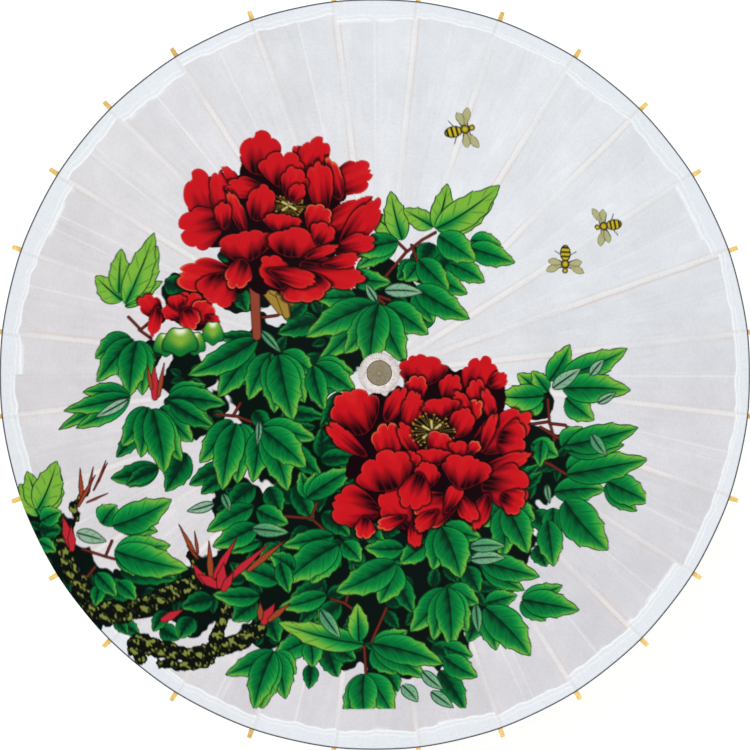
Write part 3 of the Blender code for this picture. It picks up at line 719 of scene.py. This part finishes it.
# ---- Paper colour ------------------------------------------------------------------------------------
def rib_offset(x, y):
    """Return the distance from the nearest rib's line, that rib's number and the angle from mid-gore."""
    angle = np.arctan2(y, x) / RIB_STEP
    number = np.floor(angle)
    turn = (angle - number - 0.5) * RIB_STEP
    return np.hypot(x, y) * np.sin(turn), number, RIB_STEP / 2 - np.abs(turn)


def scatter(number, salt):
    """Return a repeatable share of 0 to 1 for each whole number."""
    return np.abs(np.sin(number * 12.9898 + salt * 78.233) * 43758.5453) % 1.0


def plain_paper(x, y, hem, under):
    """Return the bare paper's colour at places in millimetres: tint, painted light and shade, stains, rib
    marks, hem and rim.
    """
    away = np.hypot(x, y)
    rim = RIM_RADIUS / MM
    # Painted light and shade: the paper is painted lighter and bluer towards the upper right and darker
    # towards the lower right, where less light falls.
    lit_side = soft(-250.0, 350.0, 0.8 * x + 0.6 * y)
    shaded_side = soft(0.0, 420.0, x - y)
    colour = mix((0.862, 0.853, 0.868), (0.888, 0.905, 0.925), lit_side)
    colour = mix(colour, (0.835, 0.828, 0.850), 0.75 * shaded_side * (1 - soft(-60, 160, y)))
    cloud = 0.010 * ripple(x, y, 90.0) + 0.006 * ripple(x, y, 28.0, 0.7)
    offset, number, middle = rib_offset(x, y)
    # Painted shade and light: radial wrinkles are painted a little darker and lighter, and lighter streaks
    # are painted along the folds, as light falls on them.
    wrinkle_shading = ripple(offset + 37.0 * number, 0.10 * away, 7.0) * ripple(offset, 0.5 * away, 60.0, 1.0)
    fold = soft(0.50, 0.85, ripple(offset + 11.0 * number, 0.35 * away, 24.0, 0.5)) * soft(60.0, 200.0, away)
    colour = colour + (cloud + 0.010 * wrinkle_shading + 0.012 * fold)[..., None]
    wander = 0.5 * ripple(away, number * 37.0, 60.0)
    left = soft(1.5, 0.3, np.abs(offset - 3.8 - wander))
    right = soft(1.5, 0.3, np.abs(offset + 3.8 - wander))
    fade = 0.35 + 0.65 * soft(-0.4, 0.5, ripple(away, number * 91.0, 150.0, 1.0))
    marks = np.maximum(left * (0.3 + 0.7 * scatter(number, 1)), right * (0.3 + 0.7 * scatter(number, 2)))
    colour = mix(colour, (0.880, 0.800, 0.760), 0.80 * marks * fade)
    crest = soft(3.4, 1.2, np.abs(offset)) * fade
    colour = mix(colour, (0.945, 0.940, 0.935), 0.55 * crest)
    crease = soft(1.6, 0.2, np.abs(middle * away - 9.0 * scatter(number, 5) - 1.5)) * scatter(number, 3)
    colour = mix(colour, (0.96, 0.96, 0.97), 0.60 * crease * soft(120.0, 360.0, away))
    gore = np.floor(np.arctan2(y, x) / RIB_STEP + 0.5)
    # Painted shade: each gore is painted a little lighter or darker at random, and one half of it lighter
    # than the other, as light falls on a gore tented between its ribs.
    facet_shading = 0.011 * (2 * scatter(gore, 11) - 1) + 0.010 * (offset > 0) - 0.005
    colour = colour + (facet_shading * soft(30.0, 200.0, away))[..., None]
    turn = np.arctan2(y, x) / RIB_STEP + 0.5 - gore - 0.5
    chord = away * np.cos(turn * RIB_STEP) / math.cos(RIB_STEP / 2)
    width = hem / MM * (0.78 + 0.5 * scatter(gore, 7)) + 3.0 * (scatter(gore, 8) - 0.5) * turn * 2
    step = soft(0.26, 0.36, np.abs(turn) - 0.10 * scatter(gore, 9)) * 3.4 * (scatter(gore, 4) - 0.45)
    step = step + 1.1 * ripple(x, y, 26.0, 0.4)
    inner = chord - (rim - width - step)
    band = soft(-1.0, 1.0, inner)
    colour = mix(colour, (0.912, 0.935, 0.960), 0.85 * band)
    second = inner - 5.0 - 3 * scatter(gore, 6)
    streak = soft(1.6, 0.2, np.abs(inner - 1.2)) + 0.6 * soft(1.4, 0.2, np.abs(second))
    colour = mix(colour, (0.985, 0.995, 1.0), 0.85 * np.clip(streak, 0, 1))
    break_line = band * soft(2.4, 0.8, np.abs(offset - 2.0)) * 0.35
    colour = mix(colour, (0.84, 0.82, 0.82), break_line)
    if under:
        colour = colour * np.array((0.96, 0.93, 0.86))
    return mix(colour, (0.27, 0.30, 0.33), soft(1.9, 1.2, rim - away))


# ---- Paper pieces ------------------------------------------------------------------------------------
def paper_height(radius, middle):
    """Return the height of the flat gores' underside at a plan radius and an angle from mid-gore."""
    along = radius * np.cos(middle) / math.cos(RIB_STEP / 2)
    lift = (RIB_CREST + PAPER_GAP) / math.cos(SLOPE)
    return HEAD_Z + lift - (along - PIVOT_RADIUS) * math.tan(SLOPE)


def rib_half_width(radius):
    """Return half the width of the paper that lies on a rib."""
    places, halves = zip(*RIB_HALF)
    return np.interp(radius, places, halves)


def row_radii(span):
    """Return the plan radii of a piece's rows: fine where it is painted and along the hem."""
    stops = [HEAD_HOLE, RIM_RADIUS - HEM_DEPTH, RIM_RADIUS]
    fine = [(stops[1], stops[2])]
    if span:
        low, high = max(span[0], HEAD_HOLE), min(span[1], stops[1])
        fine = [(low, high)] + fine
    radii, here = [], HEAD_HOLE
    for low, high in fine:
        if low - here > COARSE_ROW:
            radii.append(np.linspace(here, low, int((low - here) / COARSE_ROW) + 1, endpoint=False))
        else:
            low = here
        radii.append(np.linspace(low, high, max(2, round((high - low) / FINE_ROW)), endpoint=False))
        here = high
    return np.concatenate(radii + [[RIM_RADIUS]])


def paper_grid(rib, side, radii, columns, sag, lift):
    """Return the points of one layer of a paper piece as (rows, columns, 3).

    Side 1 or -1 is the half gore on that side of the rib, and 0 is the strip along the rib's top. Across
    a row the angle from the rib grows evenly from the strip's edge to mid-gore, and the height is the
    flat gore's, less a dip that follows half a sine across the gore and grows with the radius.
    """
    radius = radii[:, None]
    edge = np.arcsin(rib_half_width(radius) / radius)
    across = np.linspace(0.0, 1.0, columns)[None, :]
    if side:
        turn = edge + (RIB_STEP / 2 - edge) * across
        dip = sag * (radius / RIM_RADIUS) ** 1.5 * np.sin(across * math.pi / 2) ** 2
        turn = turn * side
    else:
        turn = edge * (2 * across - 1)
        dip = np.zeros_like(turn)
    angle = (rib + 0.5) * RIB_STEP + turn
    height = paper_height(radius, RIB_STEP / 2 - np.abs(turn)) + lift - dip
    return np.stack([radius * np.cos(angle), radius * np.sin(angle), height], -1)


def sheet_faces(top_rows, under_rows, columns, flip):
    """Return the faces of a thin piece: its two layers and ends as quads, and its two long sides."""
    rows = top_rows + under_rows
    quads = wrapped_quads(rows, columns)
    first = (np.arange(rows) * columns)[None, ::-1]
    last = (np.arange(rows) * columns + columns - 1)[None, :]
    faces = [quads, first.copy(), last.copy()]
    if flip:
        faces = [face[:, ::-1] for face in faces]
    return faces


def plan_pieces(settings):
    """Lay out every paper piece's points, fine where the painting reaches."""
    coarse_radii = np.arange(HEAD_HOLE, RIM_RADIUS, 0.003)
    turns = np.linspace(0.02, 0.98, 12) * RIB_STEP / 2
    pieces = []
    probes = []
    for rib in range(RIB_COUNT):
        for side in (-1, 1):
            angle = (rib + 0.5) * RIB_STEP + side * turns
            radius, angle = np.meshgrid(coarse_radii, angle, indexing="ij")
            probes.append(np.stack([radius * np.cos(angle), radius * np.sin(angle)], -1))
    probe = Canvas(np.concatenate([grid.reshape(-1, 2) for grid in probes]) / MM)
    paint_spray(probe, settings.seed)
    inks = probe.ink.reshape(len(probes), len(coarse_radii), -1).max(-1)
    spans = []
    for ink in inks:
        found = coarse_radii[ink > 0.05]
        spans.append((found.min() - 0.008, found.max() + 0.008) if len(found) else None)
    for rib in range(RIB_COUNT):
        both = [span for span in spans[2 * rib : 2 * rib + 2] if span]
        joined = (min(span[0] for span in both), max(span[1] for span in both)) if both else None
        for side, span in ((-1, spans[2 * rib]), (0, joined), (1, spans[2 * rib + 1])):
            columns = STRIP_COLUMNS if side == 0 else GORE_COLUMNS if span else PLAIN_COLUMNS
            radii = row_radii(span)
            under = np.linspace(RIM_RADIUS, HEAD_HOLE, int(RIM_RADIUS / UNDER_ROW))
            top = paper_grid(rib, side, radii, columns, settings.sag, PAPER_THICKNESS + 0.0001)
            low = paper_grid(rib, side, under, columns, settings.sag, 0.0001)
            pieces.append((rib, side, top, low, columns))
    return pieces


def rib_frame(rib):
    """Return a rib's outward-and-down direction, its sideways direction and the direction over its top."""
    angle = (rib + 0.5) * RIB_STEP
    out = Vector((math.cos(angle), math.sin(angle), 0.0))
    side = Vector((-math.sin(angle), math.cos(angle), 0.0))
    along = out * math.cos(SLOPE) - Vector((0.0, 0.0, math.sin(SLOPE)))
    over = out * math.sin(SLOPE) + Vector((0.0, 0.0, math.cos(SLOPE)))
    return along, side, over


def make_paper(settings):
    """Build, paint and hang every piece of the canopy's paper."""
    pieces = plan_pieces(settings)
    clouds = [np.concatenate([top.reshape(-1, 3), low.reshape(-1, 3)]) for _, _, top, low, _ in pieces]
    points = np.concatenate(clouds)
    canvas = Canvas(points[:, :2] / MM)
    paint_spray(canvas, settings.seed)
    upper = [np.arange(len(cloud)) < piece[2][..., 0].size for cloud, piece in zip(clouds, pieces)]
    upper = np.concatenate(upper)
    x, y = canvas.x, canvas.y
    bare = np.where(
        upper[:, None], plain_paper(x, y, settings.hem, False), plain_paper(x, y, settings.hem, True)
    )
    shown = np.where(upper, canvas.ink, canvas.ink * 0.38)
    colours = to_linear(mix(bare, canvas.rgb, shown)) * PAPER_SHARE
    finish = paper_material()
    start = 0
    for cloud, (rib, side, top, low, columns) in zip(clouds, pieces):
        word = {-1: "right", 0: "strip", 1: "left"}[side]
        name = f"paper_{word}_{rib + 1:02d}"
        faces = sheet_faces(top.shape[0], low.shape[0], columns, side < 0)
        item = mesh_object(name, cloud, faces, colours[start : start + len(cloud)])
        start += len(cloud)
        item.data.materials.append(finish)
        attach(item, RIBS[rib])
        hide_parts("canopy")
        if side:
            along, across, over = rib_frame(rib)
            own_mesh(item)


# ---- Materials ---------------------------------------------------------------------------------------
DISC_RADIUS = 0.0135        # the head's top disc
HEAD_SKIRT = 0.0071         # hinge line down to below the head's lower face
GRIP_TOP = 0.106
SEAM = 0.0001               # where one finish gives way to the next


class Nodes:
    """Builds a material's node tree in a few words."""

    def __init__(self, name, roughness=0.5):
        self.material = bpy.data.materials.new(name)
        self.material.use_nodes = True
        self.tree = self.material.node_tree
        self.shader = self.tree.nodes["Principled BSDF"]
        self.shader.inputs["Roughness"].default_value = roughness

    def add(self, kind, **values):
        """Add a node, set its inputs or its own settings, and return it."""
        node = self.tree.nodes.new(kind)
        for key, value in values.items():
            if key in node.inputs.keys():
                node.inputs[key].default_value = value
            else:
                setattr(node, key, value)
        return node

    def link(self, output, target):
        """Link an output socket to an input socket."""
        self.tree.links.new(output, target)

    def place(self, scale=(1.0, 1.0, 1.0), turn=(0.0, 0.0, 0.0)):
        """Return scaled object coordinates."""
        source = self.add("ShaderNodeTexCoord")
        mapping = self.add("ShaderNodeMapping")
        mapping.inputs["Scale"].default_value = scale
        mapping.inputs["Rotation"].default_value = turn
        self.link(source.outputs["Object"], mapping.inputs["Vector"])
        return mapping.outputs["Vector"]

    def noise(self, vector, scale, detail=4.0, distortion=0.0):
        """Return a noise pattern's value."""
        node = self.add("ShaderNodeTexNoise", Scale=scale, Detail=detail, Distortion=distortion)
        self.link(vector, node.inputs["Vector"])
        return node.outputs["Fac"]

    def ramp(self, value, stops):
        """Return a colour ramp's colour. Stops are (place, colour)."""
        node = self.add("ShaderNodeValToRGB")
        ramp = node.color_ramp
        while len(ramp.elements) < len(stops):
            ramp.elements.new(0.5)
        for element, (place, colour) in zip(ramp.elements, stops):
            element.position = place
            element.color = (*to_linear(np.array(colour)), 1.0)
        self.link(value, node.inputs["Fac"])
        return node.outputs["Color"]

    def blend(self, share, first, second, kind="MIX"):
        """Return two colours blended. Share is a number or a socket."""
        node = self.add("ShaderNodeMix", data_type="RGBA", blend_type=kind)
        for value, socket in ((share, node.inputs[0]), (first, node.inputs[6]), (second, node.inputs[7])):
            if isinstance(value, bpy.types.NodeSocket):
                self.link(value, socket)
            else:
                socket.default_value = value
        return node.outputs[2]

    def range(self, value, low, high, to_low, to_high):
        """Return a value mapped from one range to another."""
        node = self.add("ShaderNodeMapRange")
        for key, number in (("From Min", low), ("From Max", high), ("To Min", to_low), ("To Max", to_high)):
            node.inputs[key].default_value = number
        self.link(value, node.inputs["Value"])
        return node.outputs["Result"]

    def bump(self, value, strength, distance):
        """Feed a height into the shader's normal."""
        node = self.add("ShaderNodeBump", Strength=strength, Distance=distance)
        self.link(value, node.inputs["Height"])
        self.link(node.outputs["Normal"], self.shader.inputs["Normal"])


def paper_material():
    """Oiled paper: its painted colour, long fibres, cloudy gloss and a fine tooth."""
    nodes = Nodes("oiled_paper_look", 0.5)
    paint = nodes.add("ShaderNodeAttribute", attribute_name="paint")
    place = nodes.place()
    fibre = nodes.noise(nodes.place((1.0, 0.22, 1.0), (0.0, 0.0, 0.5)), 900.0, 6.0, 1.2)
    cross = nodes.noise(nodes.place((0.22, 1.0, 1.0), (0.0, 0.0, 0.2)), 820.0, 6.0, 1.2)
    tint = nodes.ramp(fibre, ((0.30, (0.965, 0.962, 0.958)), (0.55, (1.0, 1.0, 1.0))))
    tint_two = nodes.ramp(cross, ((0.30, (0.970, 0.968, 0.964)), (0.55, (1.0, 1.0, 1.0))))
    colour = nodes.blend(1.0, paint.outputs["Color"], tint, "MULTIPLY")
    colour = nodes.blend(1.0, colour, tint_two, "MULTIPLY")
    nodes.link(colour, nodes.shader.inputs["Base Color"])
    cloud = nodes.noise(place, 22.0, 3.0)
    nodes.link(nodes.range(cloud, 0.3, 0.7, 0.42, 0.56), nodes.shader.inputs["Roughness"])
    nodes.shader.inputs["Specular IOR Level"].default_value = 0.03
    nodes.bump(fibre, 0.18, 0.0006)
    return nodes.material


def bamboo_material(name, pale, deep, yellow):
    """Split bamboo: long fine fibres, blotches, darker rings where its joints were."""
    nodes = Nodes(name, 0.42)
    place = nodes.place()
    fine = nodes.noise(place, 700.0, 5.0)
    broad = nodes.noise(place, 38.0, 3.0)
    colour = nodes.ramp(fine, ((0.30, deep), (0.55, pale), (0.75, yellow)))
    patch = nodes.ramp(broad, ((0.35, (0.86, 0.82, 0.74)), (0.60, (1.0, 1.0, 1.0))))
    nodes.link(nodes.blend(1.0, colour, patch, "MULTIPLY"), nodes.shader.inputs["Base Color"])
    nodes.link(nodes.range(fine, 0.3, 0.7, 0.34, 0.52), nodes.shader.inputs["Roughness"])
    nodes.bump(fine, 0.25, 0.0004)
    return nodes.material


def wood_material(name, dark, light, ring=260.0):
    """Turned wood: growth rings drawn out along the shaft, with fine pores."""
    nodes = Nodes(name, 0.45)
    long = nodes.place((1.0, 1.0, 0.09))
    grain = nodes.noise(long, ring, 5.0, 1.5)
    pores = nodes.noise(long, ring * 6, 3.0)
    colour = nodes.ramp(grain, ((0.34, dark), (0.50, light), (0.68, dark)))
    speck = nodes.ramp(pores, ((0.34, (0.82, 0.80, 0.78)), (0.52, (1.0, 1.0, 1.0))))
    nodes.link(nodes.blend(1.0, colour, speck, "MULTIPLY"), nodes.shader.inputs["Base Color"])
    nodes.link(nodes.range(grain, 0.3, 0.7, 0.38, 0.54), nodes.shader.inputs["Roughness"])
    nodes.bump(pores, 0.2, 0.0003)
    return nodes.material


def shaft_material():
    """The shaft node's look: a pale pole, a darker grip and a grey-brown head, told apart by height."""
    nodes = Nodes("shaft_look", 0.44)
    long = nodes.place((1.0, 1.0, 0.09))
    grain = nodes.noise(long, 260.0, 5.0, 1.5)
    pole = nodes.ramp(
        grain, ((0.34, (0.50, 0.35, 0.20)), (0.52, (0.62, 0.46, 0.28)), (0.70, (0.54, 0.39, 0.23)))
    )
    grip = nodes.ramp(grain, ((0.34, (0.26, 0.15, 0.09)), (0.55, (0.36, 0.22, 0.13))))
    head = nodes.ramp(
        grain, ((0.34, (0.47, 0.42, 0.32)), (0.55, (0.54, 0.49, 0.38)), (0.75, (0.50, 0.45, 0.35)))
    )
    middle = nodes.add("ShaderNodeVectorMath", operation="LENGTH")
    nodes.link(nodes.place((1.0, 1.0, 0.0)), middle.inputs[0])
    inner_stops = ((0.0, 1.0), (0.10, 0.99), (0.16, 0.84), (0.52, 0.93))
    outer_stops = ((0.56, 0.85), (0.60, 0.93), (0.90, 0.92), (1.0, 0.78))
    rings = nodes.ramp(
        nodes.range(middle.outputs["Value"], 0.0, DISC_RADIUS, 0.0, 1.0),
        [(place, (grey, grey, grey)) for place, grey in inner_stops + outer_stops],
    )
    head = nodes.blend(1.0, head, rings, "MULTIPLY")
    split = nodes.add("ShaderNodeSeparateXYZ")
    nodes.link(nodes.place(), split.inputs["Vector"])
    height = split.outputs["Z"]
    on_head = nodes.range(height, HEAD_Z - HEAD_SKIRT - SEAM, HEAD_Z - HEAD_SKIRT, 0.0, 1.0)
    on_grip = nodes.range(height, GRIP_TOP, GRIP_TOP + SEAM, 1.0, 0.0)
    colour = nodes.blend(on_head, nodes.blend(on_grip, pole, grip), head)
    nodes.link(colour, nodes.shader.inputs["Base Color"])
    nodes.link(nodes.range(grain, 0.3, 0.7, 0.36, 0.52), nodes.shader.inputs["Roughness"])
    nodes.bump(grain, 0.2, 0.0003)
    return nodes.material


def thread_material(name, colour):
    """Waxed thread."""
    nodes = Nodes(name, 0.6)
    twist = nodes.noise(nodes.place(), 2200.0, 3.0)
    shade = nodes.ramp(twist, ((0.35, tuple(0.7 * part for part in colour)), (0.6, colour)))
    nodes.link(shade, nodes.shader.inputs["Base Color"])
    nodes.bump(twist, 0.4, 0.0003)
    return nodes.material


def collar_material():
    """The collar's stained, hand-pleated paper."""
    nodes = Nodes("collar_look", 0.6)
    place = nodes.place()
    stain = nodes.noise(place, 170.0, 5.0, 0.6)
    speck = nodes.noise(place, 900.0, 4.0)
    colour = nodes.ramp(
        stain, ((0.30, (0.76, 0.70, 0.66)), (0.46, (0.83, 0.80, 0.79)), (0.66, (0.87, 0.86, 0.86)))
    )
    dots = nodes.ramp(speck, ((0.34, (0.80, 0.78, 0.76)), (0.5, (1.0, 1.0, 1.0))))
    nodes.link(nodes.blend(1.0, colour, dots, "MULTIPLY"), nodes.shader.inputs["Base Color"])
    nodes.bump(stain, 0.3, 0.0006)
    return nodes.material


def dress(node, material):
    """Give a CAD node's object one material."""
    data = frame["nodes"][node].data
    data.materials.clear()
    data.materials.append(material)


# ---- Bindings and collar -----------------------------------------------------------------------------
COLLAR_PLEATS = 44
COLLAR_INNER = 0.0134
COLLAR_OUTER = 0.0214
COLLAR_THICKNESS = 0.0005
COLLAR_ROWS = 16            # points of its section on one face
COLLAR_PLEAT_POINTS = 8
COLLAR_OVER_DISC = 0.0004   # inner edge over the head's disc
COLLAR_OVER_PAPER = 0.0012  # outer edge over the paper
COLLAR_BELLY = 0.0013       # how far the middle of its section stands out
COLLAR_PLEAT_RISE = 0.00022
COLLAR_PLEAT_REACH = 0.0004
RING_POINTS = 168           # round a thread ring
THREAD_POINTS = 10          # round the thread itself
PIN_POINTS = 12
PIN_RINGS = ((-0.5, 0.0001), (-0.5, 0.8), (-0.46, 1.0), (0.46, 1.0), (0.5, 0.8), (0.5, 0.0001))
# Each of PIN_RINGS is a place along the pin, as a share of its length, and a share of its radius.
THREAD_RADIUS = 0.0005
PIN_RADIUS = 0.0008
PIN_LENGTH = 0.0054


def make_collar():
    """Build the pleated collar: a ring of revolution from the head's disc down to the paper.

    Its section runs from the disc's edge down the head's cone, and its radius and height ripple with the
    pleats, more towards the outer edge. The underside follows the same section a thickness lower.
    """
    share = np.linspace(0.0, 1.0, COLLAR_ROWS)[:, None]
    count = COLLAR_PLEATS * COLLAR_PLEAT_POINTS
    around = np.linspace(0.0, 2 * math.pi, count, endpoint=False)[None, :]
    pleat = np.sin(COLLAR_PLEATS * around + 1.3 * np.sin(3 * around) + 0.8 * np.sin(7 * around))
    outer_z = PAPER_HIGH.z - (COLLAR_OUTER - HEAD_HOLE) * math.tan(SLOPE) + COLLAR_OVER_PAPER
    radius = COLLAR_INNER + (COLLAR_OUTER - COLLAR_INNER) * share
    drop = share**1.15 * (HEAD_TOP + COLLAR_OVER_DISC - outer_z)
    top = HEAD_TOP + COLLAR_OVER_DISC - drop + COLLAR_PLEAT_RISE * pleat * (0.35 + share)
    radius = radius + COLLAR_PLEAT_REACH * pleat * share**3 + COLLAR_BELLY * np.sin(share * math.pi)
    layers = [(radius, top), (radius[::-1], top[::-1] - COLLAR_THICKNESS)]
    points = []
    for ring_radius, ring_top in layers:
        ring_radius = np.broadcast_to(ring_radius, ring_top.shape)
        points.append(np.stack([ring_radius * np.cos(around), ring_radius * np.sin(around), ring_top], -1))
    grid = np.concatenate(points)
    closed = np.concatenate([grid, grid[:1]])
    faces = ring_quads(len(closed), count)
    faces = np.where(faces >= len(grid) * count, faces - len(grid) * count, faces)
    item = mesh_object("paper_collar", grid.reshape(-1, 3), [faces[:, ::-1]])
    item.data.materials.append(collar_material())
    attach(item, "umbrella")


def torus(name, radius, thick, height, material, body):
    """Build a thread ring: a small circle swept round the shaft's axis."""
    around = np.linspace(0.0, 2 * math.pi, RING_POINTS, endpoint=False)[None, :]
    section = np.linspace(0.0, 2 * math.pi, THREAD_POINTS + 1)[:, None]
    out = radius + thick * np.cos(section)
    lift = height + thick * np.sin(section)
    lift = np.broadcast_to(lift, out.shape[:1] + around.shape[1:])
    grid = np.stack([out * np.cos(around), out * np.sin(around), lift], -1)[:-1]
    faces = ring_quads(THREAD_POINTS + 1, RING_POINTS) % (THREAD_POINTS * RING_POINTS)
    item = mesh_object(name, grid.reshape(-1, 3), [faces])
    item.data.materials.append(material)
    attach(item, body)
    return item


def make_bindings():
    """Build the threads through the ribs' heads and feet, and a pin through each jaw."""
    thread = thread_material("binding_thread", (0.30, 0.22, 0.16))
    torus("head_thread", PIVOT_RADIUS, THREAD_RADIUS, HEAD_Z, thread, "umbrella")
    torus("runner_thread", PIVOT_RADIUS, THREAD_RADIUS, RUNNER_PIVOT.z, thread, "runner")
    pin = bamboo_material("pin_look", (0.66, 0.50, 0.26), (0.46, 0.33, 0.16), (0.74, 0.58, 0.32))
    around = np.linspace(0.0, 2 * math.pi, PIN_POINTS, endpoint=False)[None, :]
    shares = np.array(PIN_RINGS)
    reach = shares[:, :1] * PIN_LENGTH
    size = shares[:, 1:] * PIN_RADIUS
    pin_faces = ring_quads(len(PIN_RINGS), PIN_POINTS)
    for rib, name in enumerate(RIBS):
        along, side, over = (np.array(vector) for vector in rib_frame(rib))
        hinge = np.array(HINGES[name.replace("long", "short") + "_hinge"]["pos_m"])
        ring = np.cos(around)[..., None] * along + np.sin(around)[..., None] * over
        grid = hinge + reach[..., None] * side + size[..., None] * ring
        item = mesh_object(f"jaw_pin_{rib + 1:02d}", grid.reshape(-1, 3), [pin_faces])
        item.data.materials.append(pin)
        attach(item, name)


def make_finishes():
    """Give the CAD nodes their bamboo and wood."""
    rib = bamboo_material("rib_look", (0.93, 0.79, 0.44), (0.80, 0.63, 0.30), (0.97, 0.86, 0.54))
    stretcher = bamboo_material(
        "stretcher_look", (0.82, 0.67, 0.38), (0.66, 0.50, 0.25), (0.88, 0.74, 0.46)
    )
    for name in frame["nodes"]:
        if name.startswith("long_rib_"):
            dress(name, rib)
        if name.startswith("short_rib_"):
            dress(name, stretcher)
    dress("shaft", shaft_material())
    dress("runner", wood_material("runner_look", (0.36, 0.24, 0.14), (0.50, 0.35, 0.21)))
    dress("catch", wood_material("catch_look", (0.56, 0.40, 0.20), (0.68, 0.52, 0.30)))


# ---- Stage -------------------------------------------------------------------------------------------
FRAME_MARGIN = 0.9988       # half the picture's width, as a share of the rim's radius


def make_stage(settings):
    """Lay the floor, set the soft lights and place the camera over the canopy."""
    bpy.ops.mesh.primitive_plane_add(size=12.0, location=(0.0, 0.0, -0.0005))
    floor = bpy.context.object
    floor.name = "floor"
    nodes = Nodes("floor_look", 0.9)
    nodes.shader.inputs["Base Color"].default_value = (*settings.floor, 1.0)
    nodes.shader.inputs["Specular IOR Level"].default_value = 0.1
    nodes.shader.inputs["Emission Color"].default_value = (1.0, 1.0, 1.0, 1.0)
    nodes.shader.inputs["Emission Strength"].default_value = 0.08
    floor.data.materials.append(nodes.material)
    for name, place, size, power in (
        ("key", (-0.9, 1.1, 2.6), 2.2, 28.0),
        ("fill", (1.4, -0.8, 2.2), 2.6, 17.5),
        ("front", (0.0, -2.6, 1.2), 2.2, 12.0),
    ):
        data = bpy.data.lights.new(name, "AREA")
        data.size = size
        data.energy = power
        lamp = bpy.data.objects.new(name, data)
        lamp.location = place
        lamp.rotation_euler = (Vector((0.0, 0.0, 0.4)) - Vector(place)).to_track_quat("-Z", "Y").to_euler()
        bpy.context.scene.collection.objects.link(lamp)
    world = bpy.data.worlds.new("studio")
    world.use_nodes = True
    background = world.node_tree.nodes["Background"]
    background.inputs["Color"].default_value = (1.0, 1.0, 1.0, 1.0)
    background.inputs["Strength"].default_value = 0.76
    bpy.context.scene.world = world
    bpy.context.scene.view_settings.view_transform = "Standard"
    rim_z = PAPER_LOW.z
    data = bpy.data.cameras.new("camera")
    camera = bpy.data.objects.new("camera", data)
    bpy.context.scene.collection.objects.link(camera)
    camera.location = (*settings.camera_aside, rim_z + settings.camera_height)
    aim = Vector((*settings.aim_aside, rim_z)) - camera.location
    across = aim.cross(Vector((0.0, 1.0, 0.0))).normalized()
    upward = across.cross(aim).normalized()
    camera.rotation_euler = Matrix((across, upward, -aim.normalized())).transposed().to_euler()
    data.lens = data.sensor_width / 2 * aim.length / (RIM_RADIUS * FRAME_MARGIN)
    data.clip_end = 50.0
    bpy.context.scene.camera = camera


# ---- Operators ---------------------------------------------------------------------------------------
class UMBRELLA_OT_paper(bpy.types.Operator):
    """Build and paint the paper"""

    bl_idname = "umbrella.paper"
    bl_label = "Paper"

    def execute(self, context):
        make_paper(context.scene.umbrella_paper)
        return {"FINISHED"}


class UMBRELLA_OT_bindings(bpy.types.Operator):
    """Build the collar, the threads and the pins"""

    bl_idname = "umbrella.bindings"
    bl_label = "Collar and bindings"

    def execute(self, context):
        make_collar()
        make_bindings()
        return {"FINISHED"}


class UMBRELLA_OT_finishes(bpy.types.Operator):
    """Give the frame its bamboo and wood"""

    bl_idname = "umbrella.finishes"
    bl_label = "Bamboo and wood"

    def execute(self, context):
        make_finishes()
        return {"FINISHED"}


class UMBRELLA_OT_stage(bpy.types.Operator):
    """Build the floor, the lights and the camera"""

    bl_idname = "umbrella.stage"
    bl_label = "Stage"

    def execute(self, context):
        make_stage(context.scene.umbrella_stage)
        return {"FINISHED"}


class UMBRELLA_PT_panel(bpy.types.Panel):
    """Umbrella looks"""

    bl_idname = "UMBRELLA_PT_panel"
    bl_label = "Umbrella"
    bl_space_type = "VIEW_3D"
    bl_region_type = "UI"
    bl_category = "Umbrella"

    def draw(self, context):
        layout = self.layout
        for name in ("sag", "hem", "seed"):
            layout.prop(context.scene.umbrella_paper, name)
        for name in ("floor", "camera_height", "camera_aside", "aim_aside"):
            layout.prop(context.scene.umbrella_stage, name)
        for operator in OPERATORS:
            layout.operator(operator.bl_idname)


OPERATORS = (UMBRELLA_OT_stage, UMBRELLA_OT_finishes, UMBRELLA_OT_bindings, UMBRELLA_OT_paper)
CLASSES = (PaperSettings, StageSettings, *OPERATORS, UMBRELLA_PT_panel)


def register():
    """Register the add-on's classes and settings."""
    for item in CLASSES:
        bpy.utils.register_class(item)
    bpy.types.Scene.umbrella_paper = bpy.props.PointerProperty(type=PaperSettings)
    bpy.types.Scene.umbrella_stage = bpy.props.PointerProperty(type=StageSettings)


def unregister():
    """Remove the add-on's settings and classes."""
    del bpy.types.Scene.umbrella_stage
    del bpy.types.Scene.umbrella_paper
    for item in reversed(CLASSES):
        bpy.utils.unregister_class(item)


def main():
    """Register and run every operator in order."""
    register()
    bpy.ops.umbrella.stage()
    bpy.ops.umbrella.finishes()
    bpy.ops.umbrella.bindings()
    bpy.ops.umbrella.paper()


if __name__ == "__main__":
    main()
